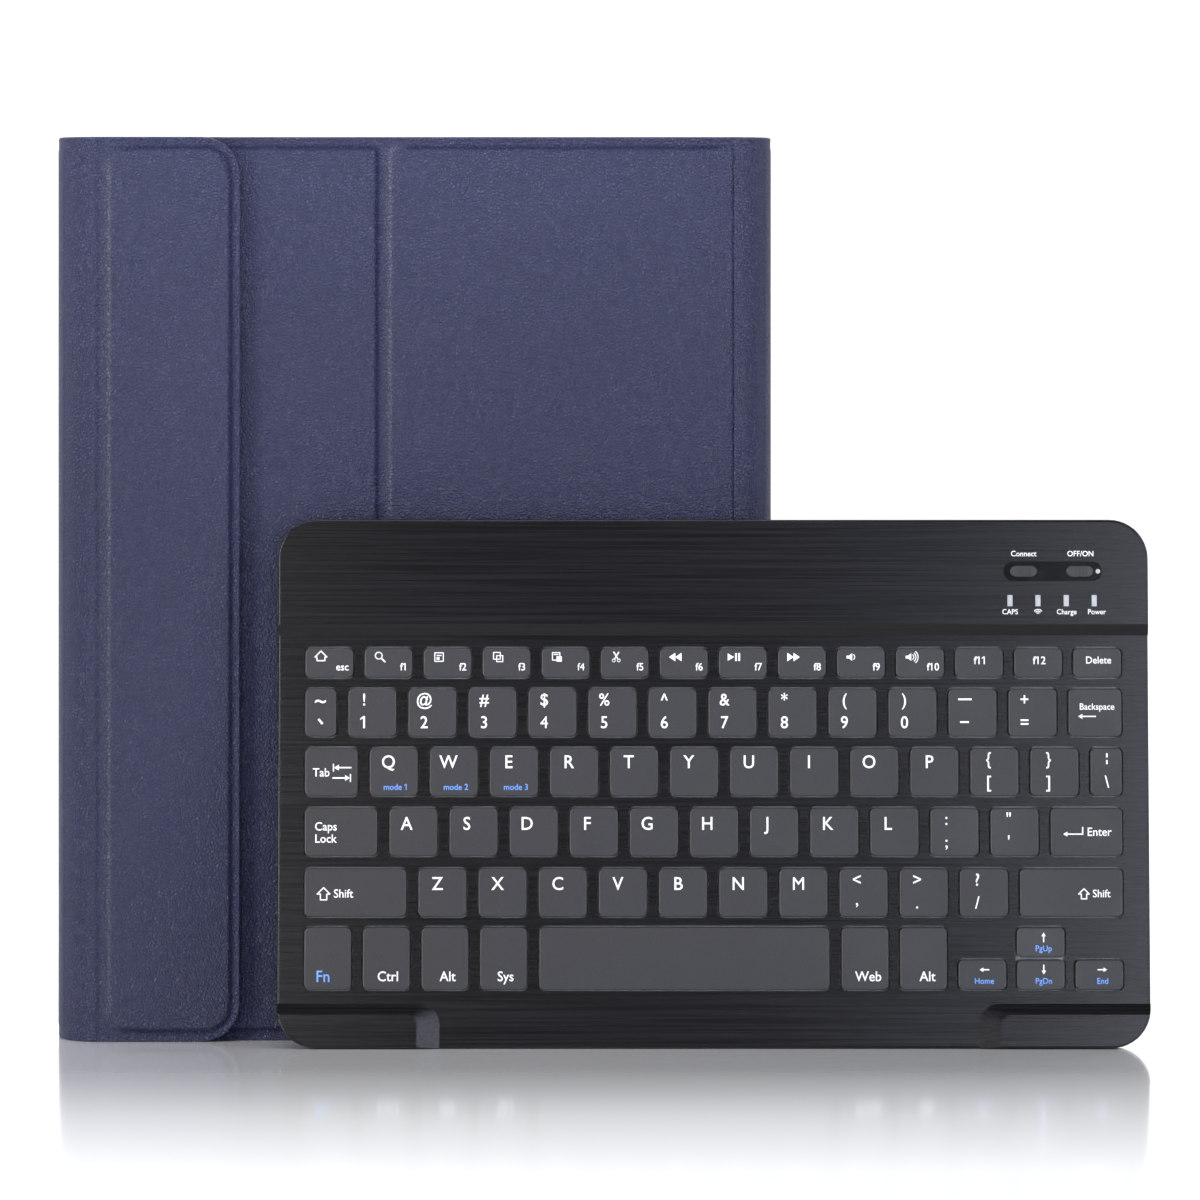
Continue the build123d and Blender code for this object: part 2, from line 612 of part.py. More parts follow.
def switch_knobs():
    """The slot's recessed floor and the two knobs that slide on it."""
    v = SLOT_CENTRE[1]
    bezel = stadium(SLOT_CENTRE, SLOT_LENGTH + 3, SLOT_WIDTH + 2, BEZEL_BOTTOM, BAND_INSIDE)
    stem = 0.9
    for name, u in (("connect_knob", CONNECT_U), ("power_knob", POWER_U)):
        bezel -= block(
            u - stem - 0.3, u + stem + KNOB_TRAVEL + 0.3, v - 0.9, v + 0.9, BEZEL_BOTTOM - 1, KNOB_TOP)
        knob = stadium((u, v), KNOB_LENGTH, KNOB_WIDTH, KNOB_BOTTOM, KNOB_TOP)
        knob = fillet(knob.faces().sort_by(Axis.Z)[-1].edges(), 0.35)
        for step in range(-2, 3):
            groove = Box(0.35, KNOB_WIDTH - 0.8, 0.4)
            knob -= Pos(u + 0.9 * step, v, KNOB_TOP) * groove
        knob += block(u - stem, u + stem, v - 0.6, v + 0.6, SWITCH_TOP + 0.1, KNOB_BOTTOM + 0.1)
        nodes[name] = knob
    nodes["switch_bezel"] = bezel


def fasteners():
    """Case screws from the back, and the rubber feet."""
    screws = []
    for u, v in SCREWS:
        head_face = SCREW_HEAD - SCREW_HEAD_THICKNESS
        head = boss(u, v, SCREW_HEAD_RADIUS, head_face, SCREW_HEAD)
        shank = boss(u, v, SCREW_SHANK_RADIUS, SCREW_HEAD - 0.1, DECK_INSIDE - 0.2)
        recess = Pos(u, v, head_face) * (Box(1.8, 0.4, 0.4) + Box(0.4, 1.8, 0.4))
        screws.append(head + shank - recess)
    nodes["case_screws"] = joined(screws)
    feet = []
    for u, v in FEET:
        foot = boss(u, v, FOOT_RADIUS, -FOOT_HEIGHT, 0)
        feet.append(fillet(foot.faces().sort_by(Axis.Z)[0].edges(), 0.25))
    nodes["rubber_feet"] = joined(feet)


# --- Assembly ------------------------------------------------------------------------

tablet_cover()
tablet_tray()
spine()
keyboard_cover()
flap_spine()
flap()
folio_nodes = list(nodes)

keys_by_node = key_layout()
top_case(keys_by_node)
bottom_case()
inner_layers(keys_by_node)
electronics()
switch_knobs()
fasteners()
key_groups(keys_by_node)

FOLIO_AT = Location((CASE_LEFT, 0, 0))
KEYBOARD_AT = Location((KEYBOARD_LEFT, KEYBOARD_FRONT, KEYBOARD_LIFT), (90 - LEAN, 0, 0))
for name, shape in nodes.items():
    nodes[name] = (FOLIO_AT if name in folio_nodes else KEYBOARD_AT) * shape

SHELLS = ("flap_spine_skin", "keyboard_cover_skin", "top_case")
outer_shells = [nodes[name].bounding_box() for name in SHELLS]
nearest = min(shell.min.Y for shell in outer_shells)
farthest = max(shell.max.Y for shell in outer_shells)
CENTRING = Pos(0, -(nearest + farthest) / 2, 0)

os.makedirs("parts", exist_ok=True)
for name, shape in nodes.items():
    placed = CENTRING * shape
    placed.label = name
    export_step(placed, f"parts/{name}.step")

print(len(nodes), "nodes, shifted along Y by", CENTRING.position.Y)
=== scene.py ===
import json
import math
from collections import namedtuple

import bmesh
import bpy
import numpy as np
from mathutils import Matrix, Vector, noise


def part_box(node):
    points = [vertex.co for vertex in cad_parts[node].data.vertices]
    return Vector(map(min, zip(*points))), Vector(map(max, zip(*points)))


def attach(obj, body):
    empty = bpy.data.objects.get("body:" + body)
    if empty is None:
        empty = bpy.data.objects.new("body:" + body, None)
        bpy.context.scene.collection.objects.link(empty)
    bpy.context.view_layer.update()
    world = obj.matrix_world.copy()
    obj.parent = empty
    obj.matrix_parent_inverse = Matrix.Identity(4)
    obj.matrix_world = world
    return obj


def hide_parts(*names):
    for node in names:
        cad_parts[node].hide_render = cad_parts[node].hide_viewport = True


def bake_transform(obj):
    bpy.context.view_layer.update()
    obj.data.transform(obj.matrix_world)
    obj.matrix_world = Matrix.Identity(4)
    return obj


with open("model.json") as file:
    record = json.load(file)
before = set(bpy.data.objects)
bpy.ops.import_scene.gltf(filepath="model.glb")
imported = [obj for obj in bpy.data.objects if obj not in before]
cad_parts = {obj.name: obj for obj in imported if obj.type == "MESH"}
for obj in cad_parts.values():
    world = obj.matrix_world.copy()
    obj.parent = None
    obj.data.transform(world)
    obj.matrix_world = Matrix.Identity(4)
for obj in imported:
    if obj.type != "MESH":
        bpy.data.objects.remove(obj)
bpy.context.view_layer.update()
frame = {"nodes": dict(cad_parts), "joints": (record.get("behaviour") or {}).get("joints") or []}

# The looks of a navy leather folio and the black keyboard that leans on it. Lengths in
# this file are metres, apart from the keyboard's own layout, which is millimetres.

MM = 0.001

# --- Sizes read from the frame ---

COVER_LEFT, COVER_FRONT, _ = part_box("tablet_cover_skin")[0]
COVER_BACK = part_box("keyboard_cover_skin")[1].y
FLAP_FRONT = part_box("flap_skin")[0].y
FLAP_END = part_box("flap_skin")[1].x
SPINE_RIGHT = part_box("spine_skin")[1].x
FLAP_SPINE_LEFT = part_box("flap_spine_skin")[0].x
CASE_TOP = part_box("spine_skin")[1].z

SPINE_RADIUS = (COVER_BACK - COVER_FRONT) / 2
FLAP_RADIUS = (COVER_BACK - FLAP_FRONT) / 2
SPINE_CENTRE = Vector((SPINE_RIGHT - SPINE_RADIUS, (COVER_BACK + COVER_FRONT) / 2))
FLAP_CENTRE = Vector((FLAP_SPINE_LEFT + FLAP_RADIUS, (COVER_BACK + FLAP_FRONT) / 2))

# Lengths along the folio's outer surface, from the tablet cover's free edge round both
# spines to the flap's free edge.
FRONT_END = SPINE_CENTRE.x - COVER_LEFT
SPINE_END = FRONT_END + math.pi * SPINE_RADIUS
REAR_END = SPINE_END + SPINE_CENTRE.x - FLAP_CENTRE.x
FLAP_SPINE_END = REAR_END + math.pi * FLAP_RADIUS
FLAP_TIP = FLAP_SPINE_END + FLAP_END - FLAP_CENTRE.x
SPINE_MIDDLE = (FRONT_END + SPINE_END) / 2
REAR_MIDDLE = (SPINE_END + REAR_END) / 2
FLAP_SPINE_MIDDLE = (REAR_END + FLAP_SPINE_END) / 2

# --- Leather make-up ---

LEATHER = 0.8 * MM
LINING = 0.5 * MM
LINING_START = 2.2 * MM           # from the folio's outer surface to the lining's outside
FLAP_LINING_START = 2.0 * MM
FLAP_LINING_EXTRA = 0.1 * MM
FLAP_CORNER = 11 * MM
BOARD_CORNER = 1.2 * MM
FLAP_BOARD_CORNER = 7 * MM
SPINE_BOARD_ANGLE = math.radians(35)
SPINE_BOARD_OUTSIDE = 1.28 * MM
PRESSED = 0.62 * MM               # how far the leather sinks where no board backs it
PRESSED_SPINE = 0.16 * MM
PRESS_SOFTNESS = 1.3 * MM
PRESS_EDGE_FADE = 1.6 * MM        # the sinking ends within this distance of the outline
FLAP_PRESS_INSET = 1.7 * MM       # the flap's pressed line lies inside its board's left end
LINE_WIDTH = 0.7 * MM
LINE_REACH = 2 * MM
OUTER_EDGE = 0.85 * MM            # radii of the sheets' rounded edges
INNER_EDGE = 0.45 * MM
LINING_EDGE = 0.3 * MM
LINING_INSET = 0.9 * MM
FLAP_CHANGE = 6 * MM              # over which the layers thin towards the flap
WAVE = 0.05 * MM
WAVE_SCALE = 16
SKIN_GAP = 0.02 * MM              # kept between the leather and the lining
BOARD_GAP = 0.01 * MM             # kept between the leather and a board
BOARD_MARGIN = 0.12 * MM          # how far past a board the leather stays thin
FLAT_STEP = 4 * MM
UP_STEP = 5 * MM
ARC_STEP = 0.7 * MM
CORNER_STEPS = 12
EDGE_STATIONS = [d * MM for d in (0, 0.06, 0.18, 0.36, 0.6, 0.9, 1.4, 2.0)]
STEP_STATIONS = [d * MM for d in (-1.0, -0.6, -0.3, -0.13, -0.11, 0.1, 0.35, 0.7, 1.1)]

# The camera window, by its middle from the cover's free edge and from the floor
WINDOW_HALF = 8 * MM
WINDOW_CORNER = 3 * MM
WINDOW_ACROSS = 14.5 * MM
WINDOW_UP = 241 * MM
WINDOW_AHEAD = 6 * MM
WINDOW_BEHIND = 2 * MM

# --- Colours, linear ---

NAVY = (0.0235, 0.0265, 0.069)
NAVY_DEEP = (0.020, 0.023, 0.062)
# The next colour darkens the grain's creases and the dark lines along the boards' pressed
# outlines, which are partly pressed crease and partly painted shade; the one after it is a
# painted highlight along those outlines.
NAVY_CREASE_AND_SHADE = (0.007, 0.009, 0.032)
NAVY_PAINTED_HIGHLIGHT = (0.066, 0.070, 0.108)
LINING_DARK = (0.018, 0.020, 0.032)
LINING_LIGHT = (0.040, 0.043, 0.060)
DECK_DARK = (0.0012, 0.0011, 0.0018)
DECK_LIGHT = (0.0046, 0.0044, 0.0062)
KEY_DARK = (0.013, 0.0127, 0.0155)
KEY_LIGHT = (0.028, 0.0275, 0.032)
INK_WHITE = (0.86, 0.87, 0.88)
INK_BLUE = (0.16, 0.34, 0.86)
FLOOR_DULL = (0.86, 0.86, 0.865)
FLOOR_CLEAN = (0.90, 0.90, 0.90)

# --- Shader helpers and materials ---


def node_material(name, build):
    """A new node material. build gets the node tree's helper and its Principled shader."""
    material = bpy.data.materials.new(name)
    material.use_nodes = True
    tree = material.node_tree
    build(Nodes(tree), tree.nodes["Principled BSDF"])
    return material


class Nodes:
    """Short calls for the shader nodes that this file uses."""

    def __init__(self, tree):
        self.tree = tree

    def add(self, kind, **values):
        node = self.tree.nodes.new(kind)
        for name, value in values.items():
            setattr(node, name, value)
        return node

    def link(self, source, target):
        self.tree.links.new(source, target)

    def place(self, kind, stretch=(1, 1, 1)):
        """Coordinates: UV lies on the leather in metres, Object is the row frame."""
        source = self.add("ShaderNodeTexCoord")
        mapping = self.add("ShaderNodeMapping")
        mapping.inputs["Scale"].default_value = stretch
        self.link(source.outputs[kind], mapping.inputs["Vector"])
        return mapping.outputs["Vector"]

    def noise(self, where, scale, detail=3.0, roughness=0.5):
        node = self.add("ShaderNodeTexNoise")
        node.inputs["Scale"].default_value = scale
        node.inputs["Detail"].default_value = detail
        node.inputs["Roughness"].default_value = roughness
        self.link(where, node.inputs["Vector"])
        return node.outputs["Fac"]

    def cells(self, where, scale):
        node = self.add("ShaderNodeTexVoronoi", feature="DISTANCE_TO_EDGE")
        node.inputs["Scale"].default_value = scale
        self.link(where, node.inputs["Vector"])
        return node.outputs["Distance"]

    def spread(self, value, low, high, out_low, out_high):
        node = self.add("ShaderNodeMapRange", clamp=True)
        for name, number in zip(
                ("From Min", "From Max", "To Min", "To Max"), (low, high, out_low, out_high)):
            node.inputs[name].default_value = number
        self.link(value, node.inputs["Value"])
        return node.outputs["Result"]

    def blend(self, share, first, second):
        """A colour between two, each a colour or a socket."""
        node = self.add("ShaderNodeMix", data_type="RGBA")
        self.link(share, node.inputs[0])
        for socket, colour in ((node.inputs[6], first), (node.inputs[7], second)):
            if isinstance(colour, tuple):
                socket.default_value = (*colour, 1)
            else:
                self.link(colour, socket)
        return node.outputs[2]

    def sum(self, first, second, share):
        """first + second x share."""
        node = self.add("ShaderNodeMath", operation="MULTIPLY_ADD")
        self.link(second, node.inputs[0])
        node.inputs[1].default_value = share
        self.link(first, node.inputs[2])
        return node.outputs[0]

    def bump(self, height, strength, distance, shader):
        node = self.add("ShaderNodeBump")
        node.inputs["Strength"].default_value = strength
        node.inputs["Distance"].default_value = distance
        self.link(height, node.inputs["Height"])
        self.link(node.outputs["Normal"], shader.inputs["Normal"])


def leather_material():
    def build(nodes, shader):
        where = nodes.place("UV")
        grain = nodes.spread(nodes.cells(where, 1150), 0.0, 0.22, 0.0, 1.0)
        pores = nodes.noise(where, 2600, 2.0)
        patches = nodes.noise(where, 9, 4.0)
        scuffs = nodes.noise(where, 60, 5.0, 0.7)
        base = nodes.blend(nodes.spread(patches, 0.35, 0.65, 0.0, 1.0), NAVY_DEEP, NAVY)
        creases = nodes.spread(grain, 0.0, 0.5, 0.0, 1.0)
        # Painted light and shade along the boards' pressed outlines: a painted highlight at each
        # board's left end, and elsewhere a dark line, with less shine, that is partly the pressed
        # crease and partly painted shade.
        line_shading = nodes.add("ShaderNodeAttribute", attribute_name="pressed_shading").outputs["Fac"]
        painted_highlight = nodes.blend(nodes.spread(line_shading, -1.0, 0.0, 1.0, 0.0), base, NAVY_PAINTED_HIGHLIGHT)
        crease_and_shade = nodes.blend(nodes.spread(line_shading, 0.0, 1.0, 0.0, 0.8), painted_highlight, NAVY_CREASE_AND_SHADE)
        nodes.link(nodes.blend(creases, NAVY_CREASE_AND_SHADE, crease_and_shade), shader.inputs["Base Color"])
        nodes.link(nodes.spread(scuffs, 0.3, 0.7, 0.38, 0.48), shader.inputs["Roughness"])
        nodes.bump(nodes.sum(grain, pores, 0.9), 1.0, 0.0003, shader)
        gloss = nodes.spread(line_shading, 0.0, 1.0, 0.31, 0.14)
        nodes.link(gloss, shader.inputs["Specular IOR Level"])
    return node_material("navy_leather", build)


def lining_material():
    def build(nodes, shader):
        where = nodes.place("UV")
        fibre = nodes.noise(where, 1800, 4.0, 0.7)
        nap = nodes.noise(where, 55, 3.0)
        shade = nodes.spread(nodes.sum(fibre, nap, 0.8), 0.6, 1.2, 0.0, 1.0)
        nodes.link(nodes.blend(shade, LINING_DARK, LINING_LIGHT), shader.inputs["Base Color"])
        shader.inputs["Roughness"].default_value = 0.95
        shader.inputs["Specular IOR Level"].default_value = 0.15
        shader.inputs["Sheen Weight"].default_value = 0.35
        shader.inputs["Sheen Roughness"].default_value = 0.5
        nodes.bump(fibre, 0.35, 0.00015, shader)
    return node_material("microfibre", build)


def brushed_material():
    def build(nodes, shader):
        lines = nodes.noise(nodes.place("Object", (14, 2300, 2300)), 1.0, 4.0, 0.65)
        bands = nodes.noise(nodes.place("Object", (6, 420, 420)), 1.0, 3.0)
        streaks = nodes.sum(lines, bands, 0.2)
        shade = nodes.spread(streaks, 0.4, 0.8, 0.0, 1.0)
        nodes.link(nodes.blend(shade, DECK_DARK, DECK_LIGHT), shader.inputs["Base Color"])
        nodes.link(nodes.spread(lines, 0.3, 0.7, 0.21, 0.33), shader.inputs["Roughness"])
        shader.inputs["Specular IOR Level"].default_value = 0.26
        nodes.bump(streaks, 0.16, 0.00005, shader)
    return node_material("brushed_shell", build)


def keycap_material():
    def build(nodes, shader):
        where = nodes.place("Object")
        speckle = nodes.noise(where, 3800, 2.0, 0.6)
        wear = nodes.noise(where, 45, 4.0)
        shade = nodes.spread(speckle, 0.3, 0.7, 0.0, 1.0)
        nodes.link(nodes.blend(shade, KEY_DARK, KEY_LIGHT), shader.inputs["Base Color"])
        nodes.link(nodes.spread(wear, 0.3, 0.7, 0.42, 0.54), shader.inputs["Roughness"])
        shader.inputs["Specular IOR Level"].default_value = 0.45
        nodes.bump(speckle, 0.25, 0.00005, shader)
    return node_material("keycap_plastic", build)


def plain_material(name, dark, light, rough, scale, metal=0.0, specular=0.5, grain=0.15):
    """A moulded, rubber or metal surface with a fine uneven finish."""
    def build(nodes, shader):
        where = nodes.place("Object")
        fine = nodes.noise(where, scale, 3.0, 0.6)
        nodes.link(
            nodes.blend(nodes.spread(fine, 0.3, 0.7, 0.0, 1.0), dark, light),
            shader.inputs["Base Color"])
        nodes.link(
            nodes.spread(fine, 0.3, 0.7, rough * 0.88, min(1.0, rough * 1.12)),
            shader.inputs["Roughness"])
        shader.inputs["Metallic"].default_value = metal
        shader.inputs["Specular IOR Level"].default_value = specular
        nodes.bump(fine, grain, 0.00006, shader)
    return node_material(name, build)


# --- Folio ---

Board = namedtuple("Board", "s0 s1 z0 z1 corner press outside right_line")


def on_profile(s):
    """Point and outward normal in plan on the folio's outer surface, at length s."""
    if s <= FRONT_END:
        return Vector((COVER_LEFT + s, COVER_FRONT)), Vector((0, -1))
    if s <= SPINE_END:
        angle = (s - FRONT_END) / SPINE_RADIUS - math.pi / 2
        normal = Vector((math.cos(angle), math.sin(angle)))
        return SPINE_CENTRE + normal * SPINE_RADIUS, normal
    if s <= REAR_END:
        return Vector((SPINE_CENTRE.x - (s - SPINE_END), COVER_BACK)), Vector((0, 1))
    if s <= FLAP_SPINE_END:
        angle = (s - REAR_END) / FLAP_RADIUS + math.pi / 2
        normal = Vector((math.cos(angle), math.sin(angle)))
        return FLAP_CENTRE + normal * FLAP_RADIUS, normal
    return Vector((FLAP_CENTRE.x + s - FLAP_SPINE_END, FLAP_FRONT)), Vector((0, -1))


def nearness(distance, width):
    """1 on a line, falling to 0 at a width from it."""
    return np.exp(-(distance / width) ** 2)


def smooth(low, high, value):
    """0 below low, 1 above high, and an even curve between them."""
    t = np.clip((value - low) / (high - low), 0, 1)
    return t * t * (3 - 2 * t)


def inside_distance(s, z, board):
    """How far inside a rounded board a point lies, less than zero outside it."""
    half_s = (board.s1 - board.s0) / 2
    half_z = (board.z1 - board.z0) / 2
    past_s = np.abs(s - (board.s0 + board.s1) / 2) - half_s + board.corner
    past_z = np.abs(z - (board.z0 + board.z1) / 2) - half_z + board.corner
    outside = np.hypot(np.maximum(past_s, 0), np.maximum(past_z, 0))
    return board.corner - outside - np.minimum(np.maximum(past_s, past_z), 0)


def boards():
    """Where stiffeners back the leather, by length along it and by height: how far it
    sinks around them, how deep they lie, and how dark the line at their s1 end is,
    a line that is partly the pressed crease and partly painted shade."""
    found = []

    def flat(node, start, sign, corner, inset=0.0):
        low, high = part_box(node)
        first, last = sorted((start + sign * low.x, start + sign * high.x))
        # The lower tablet board gets no painted dark line at its s1 end.
        right_line = 0.0 if node == "tablet_board_lower" else 1.0
        found.append(Board(
            first + inset, last, low.z, high.z, corner, PRESSED, LEATHER, right_line))

    def curved(node, middle, radius):
        low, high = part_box(node)
        half = SPINE_BOARD_ANGLE * radius
        found.append(Board(
            middle - half, middle + half, low.z, high.z, BOARD_CORNER,
            PRESSED_SPINE, SPINE_BOARD_OUTSIDE, 0.0))

    flat("tablet_board_upper", -COVER_LEFT, 1, BOARD_CORNER)
    flat("tablet_board_lower", -COVER_LEFT, 1, BOARD_CORNER)
    flat("keyboard_cover_board", SPINE_END + SPINE_CENTRE.x, -1, BOARD_CORNER)
    flat("flap_board", FLAP_SPINE_END - FLAP_CENTRE.x, 1, FLAP_BOARD_CORNER, FLAP_PRESS_INSET)
    curved("spine_board", SPINE_MIDDLE, SPINE_RADIUS)
    curved("flap_spine_board", FLAP_SPINE_MIDDLE, FLAP_RADIUS)
    return found


BOARDS = boards()


def edge_distance(s, z):
    """How far a point is from the leather's outline. The flap's free corners are round."""
    distance = np.minimum.reduce([s, FLAP_TIP - s, z, CASE_TOP - z])
    past_s = s - (FLAP_TIP - FLAP_CORNER)
    past_z = np.maximum(FLAP_CORNER - z, z - (CASE_TOP - FLAP_CORNER))
    in_corner = (past_s > 0) & (past_z > 0)
    return np.where(in_corner, FLAP_CORNER - np.hypot(past_s, past_z), distance)


def edge_roll(distance, radius):
    """How far a rounded edge falls away, by the distance from the outline."""
    near = np.clip(radius - distance, 0, radius)
    return radius - np.sqrt(np.maximum(radius * radius - near * near, 0))


def flap_share(s):
    """0 on the covers, rising to 1 before the flap, where the layers are thinner."""
    return smooth(FLAP_SPINE_END - FLAP_CHANGE, FLAP_SPINE_END, s)


def leather_layer(s, z):
    """Outer and inner offsets of the leather from the nominal surface, inwards."""
    on_spine = ((s > FRONT_END) & (s < SPINE_END)) | ((s > REAR_END) & (s < FLAP_SPINE_END))
    press = np.where(on_spine, PRESSED_SPINE, PRESSED)
    backed = np.zeros_like(s)
    inner = np.full_like(s, LINING_START - SKIN_GAP)
    inner -= flap_share(s) * (LINING_START - FLAP_LINING_START)
    for board in BOARDS:
        depth = inside_distance(s, z, board)
        backed = np.maximum(backed, smooth(-PRESS_SOFTNESS / 2, PRESS_SOFTNESS / 2, depth))
        inner = np.where(depth > -BOARD_MARGIN, board.outside - BOARD_GAP, inner)
    outer = press * (1 - backed)
    distance = edge_distance(s, z)
    outer = outer * smooth(0, PRESS_EDGE_FADE, distance) + edge_roll(distance, OUTER_EDGE)
    inner = inner - edge_roll(distance, INNER_EDGE)
    return outer, inner


def pressed_line_shading(s, z):
    """Painted light and shade along the boards' pressed outlines, for the leather's colour:
    -1 for a painted highlight at a board's s0 end, and 1 for a dark line that is partly
    the pressed crease and partly painted shade."""
    line = np.zeros_like(s)
    for board in BOARDS:
        if board.press != PRESSED:
            continue
        near = nearness(inside_distance(s, z, board) + PRESS_SOFTNESS / 3, LINE_WIDTH)
        side = np.where(s > board.s1 - LINE_REACH, board.right_line, 1.0)
        side = np.where(s < board.s0 + LINE_REACH, -1.0, side)
        line = np.where(near > np.abs(line), near * side, line)
    return line


def lining_layer(s, z):
    """Outer and inner offsets of the lining from the nominal surface."""
    share = flap_share(s)
    outer = LINING_START - share * (LINING_START - FLAP_LINING_START)
    depth = LINING + share * FLAP_LINING_EXTRA
    distance = edge_distance(s, z) - LINING_INSET
    inner = outer + depth - edge_roll(distance, LINING_EDGE)
    return outer, inner


def fill_in(points, low, high, step_of):
    """The points between two ends, with more added wherever a gap is wide."""
    kept = sorted({round(p, 7) for p in points if low <= p <= high} | {low, high})
    filled = [kept[0]]
    for a, b in zip(kept, kept[1:]):
        count = max(1, math.ceil((b - a) / step_of((a + b) / 2)))
        filled += [a + (b - a) * (i + 1) / count for i in range(count)]
    return np.array(filled)


def step_along(s):
    """The widest gap between stations at a length."""
    on_arc = FRONT_END < s < SPINE_END or REAR_END < s < FLAP_SPINE_END
    return ARC_STEP if on_arc else FLAT_STEP


def stations_along(low, high, inset):
    """Lengths along the profile where a sheet has vertices."""
    points = [FRONT_END, SPINE_END, REAR_END, FLAP_SPINE_END]
    points += [inset + d for d in EDGE_STATIONS]
    points += [FLAP_TIP - inset - d for d in EDGE_STATIONS]
    corner = FLAP_CORNER - inset
    for step in range(CORNER_STEPS + 1):
        angle = math.pi / 2 * step / CORNER_STEPS
        points.append(FLAP_TIP - FLAP_CORNER + corner * math.sin(angle))
    for board in BOARDS:
        points += [board.s0 - d for d in STEP_STATIONS]
        points += [board.s1 + d for d in STEP_STATIONS]
    return fill_in(points, max(low, inset), min(high, FLAP_TIP - inset), step_along)


def stations_up(inset):
    """Heights where a sheet has vertices."""
    points = []
    edge = BOARDS[0].z0
    for d in EDGE_STATIONS:
        points += [inset + d, CASE_TOP - inset - d]
    for d in STEP_STATIONS:
        points += [edge - d, CASE_TOP - edge + d]
    return fill_in(points, inset, CASE_TOP - inset, lambda z: UP_STEP)


def sheet_heights(along, up, inset):
    """Height of each vertex by station. The rows draw in round the flap's free corners."""
    corner = FLAP_CORNER - inset
    past = np.clip(along - (FLAP_TIP - FLAP_CORNER), 0, corner)
    rise = corner - np.sqrt(np.maximum(corner ** 2 - past ** 2, 0))
    middle = CASE_TOP / 2
    half = middle - inset
    return middle + (up[None, :] - middle) * ((half - rise) / half)[:, None]


def sheet_vertices(along, heights, offsets, wave):
    """One side of a sheet, at its offsets inside the profile."""
    vertices = []
    for i, s in enumerate(along):
        point, normal = on_profile(s)
        for z, offset in zip(heights[i], offsets[i]):
            if wave:
                spot = Vector((s * WAVE_SCALE, z * WAVE_SCALE, 0.3))
                offset += wave * (0.5 + 0.5 * noise.noise(spot))
            place = point - normal * offset
            vertices.append((place.x, place.y, z))
    return vertices


def sheet_faces(rows, columns):
    """Faces of a closed sheet: both its sides, then its four edges."""
    faces = []
    back = rows * columns
    for i in range(rows - 1):
        for j in range(columns - 1):
            a = i * columns + j
            faces.append((a, a + columns, a + columns + 1, a + 1))
            faces.append((back + a, back + a + 1, back + a + columns + 1, back + a + columns))
        first = i * columns
        last = first + columns - 1
        faces.append((first, back + first, back + first + columns, first + columns))
        faces.append((last, last + columns, back + last + columns, back + last))
    for j in range(columns - 1):
        end = (rows - 1) * columns + j
        faces.append((j, j + 1, back + j + 1, back + j))
        faces.append((end, back + end, back + end + 1, end + 1))
    return faces


def layer_mesh(name, low, high, layer, inset, wave):
    """A closed sheet along the profile between two lengths, from a layer's two offsets."""
    along = stations_along(low, high, inset)
    up = stations_up(inset)
    heights = sheet_heights(along, up, inset)
    lengths = np.repeat(along[:, None], len(up), axis=1)
    vertices = []
    for offsets in layer(lengths, heights):
        vertices += sheet_vertices(along, heights, offsets, wave)
    faces = sheet_faces(len(along), len(up))
    mesh = bpy.data.meshes.new(name)
    mesh.from_pydata(vertices, [], faces)

    flat = np.stack([lengths.ravel(), heights.ravel()], axis=1)
    corners = np.array(faces).ravel() % len(flat)
    layer_uv = mesh.uv_layers.new(name="along")
    layer_uv.data.foreach_set("uv", flat[corners].ravel())
    # The pressed outlines' painted light and shade, kept per vertex for the leather's colour.
    pressed_shading = mesh.attributes.new("pressed_shading", "FLOAT", "POINT")
    line_shading = pressed_line_shading(lengths, heights).ravel()
    pressed_shading.data.foreach_set("value", np.concatenate([line_shading, line_shading]))
    mesh.update()
    return mesh


def shade(mesh, angle=40):
    """Smooth shading that keeps edges sharper than an angle in degrees."""
    mesh.polygons.foreach_set("use_smooth", [True] * len(mesh.polygons))
    mesh.set_sharp_from_angle(angle=math.radians(angle))


def new_piece(name, mesh, material):
    """A mesh placed in the scene, with its material if it has one."""
    piece = bpy.data.objects.new(name, mesh)
    bpy.context.scene.collection.objects.link(piece)
    if material is not None:
        mesh.materials.append(material)
    return piece


def hinge_blend(piece):
    """Bakes a piece's placement into its mesh."""
    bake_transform(piece)


def camera_cutter():
    """A rounded square prism where the tablet's camera looks out."""
    low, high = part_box("tray_adhesive")
    centre_x = COVER_LEFT + WINDOW_ACROSS
    straight = WINDOW_HALF - WINDOW_CORNER
    outline = []
    for quarter in range(4):
        turn = math.pi / 2 * quarter + math.pi / 4
        corner_x = centre_x + math.copysign(straight, math.cos(turn))
        corner_z = WINDOW_UP + math.copysign(straight, math.sin(turn))
        for step in range(7):
            angle = math.pi / 2 * (quarter + step / 6)
            outline.append((
                corner_x + WINDOW_CORNER * math.cos(angle),
                corner_z + WINDOW_CORNER * math.sin(angle)))
    count = len(outline)
    ends = (low.y - WINDOW_AHEAD, high.y + WINDOW_BEHIND)
    verts = [(x, y, z) for y in ends for x, z in outline]
    faces = [tuple(range(count)), tuple(range(2 * count - 1, count - 1, -1))]
    for i in range(count):
        j = (i + 1) % count
        faces.append((i, count + i, count + j, j))
    mesh = bpy.data.meshes.new("camera_cutter")
    mesh.from_pydata(verts, [], faces)
    cleaned = bmesh.new()
    cleaned.from_mesh(mesh)
    bmesh.ops.recalc_face_normals(cleaned, faces=cleaned.faces)
    cleaned.to_mesh(mesh)
    cleaned.free()
    return mesh


def cut_camera_window(piece):
    """Cuts the camera window through a piece and keeps the result as its mesh."""
    cutter = new_piece("camera_cutter", camera_cutter(), None)
    modifier = piece.modifiers.new("window", "BOOLEAN")
    modifier.operation = "DIFFERENCE"
    modifier.solver = "EXACT"
    modifier.object = cutter
    bpy.context.view_layer.update()
    graph = bpy.context.evaluated_depsgraph_get()
    cut = bpy.data.meshes.new_from_object(piece.evaluated_get(graph))
    piece.modifiers.clear()
    piece.data = cut
    bpy.data.objects.remove(cutter)


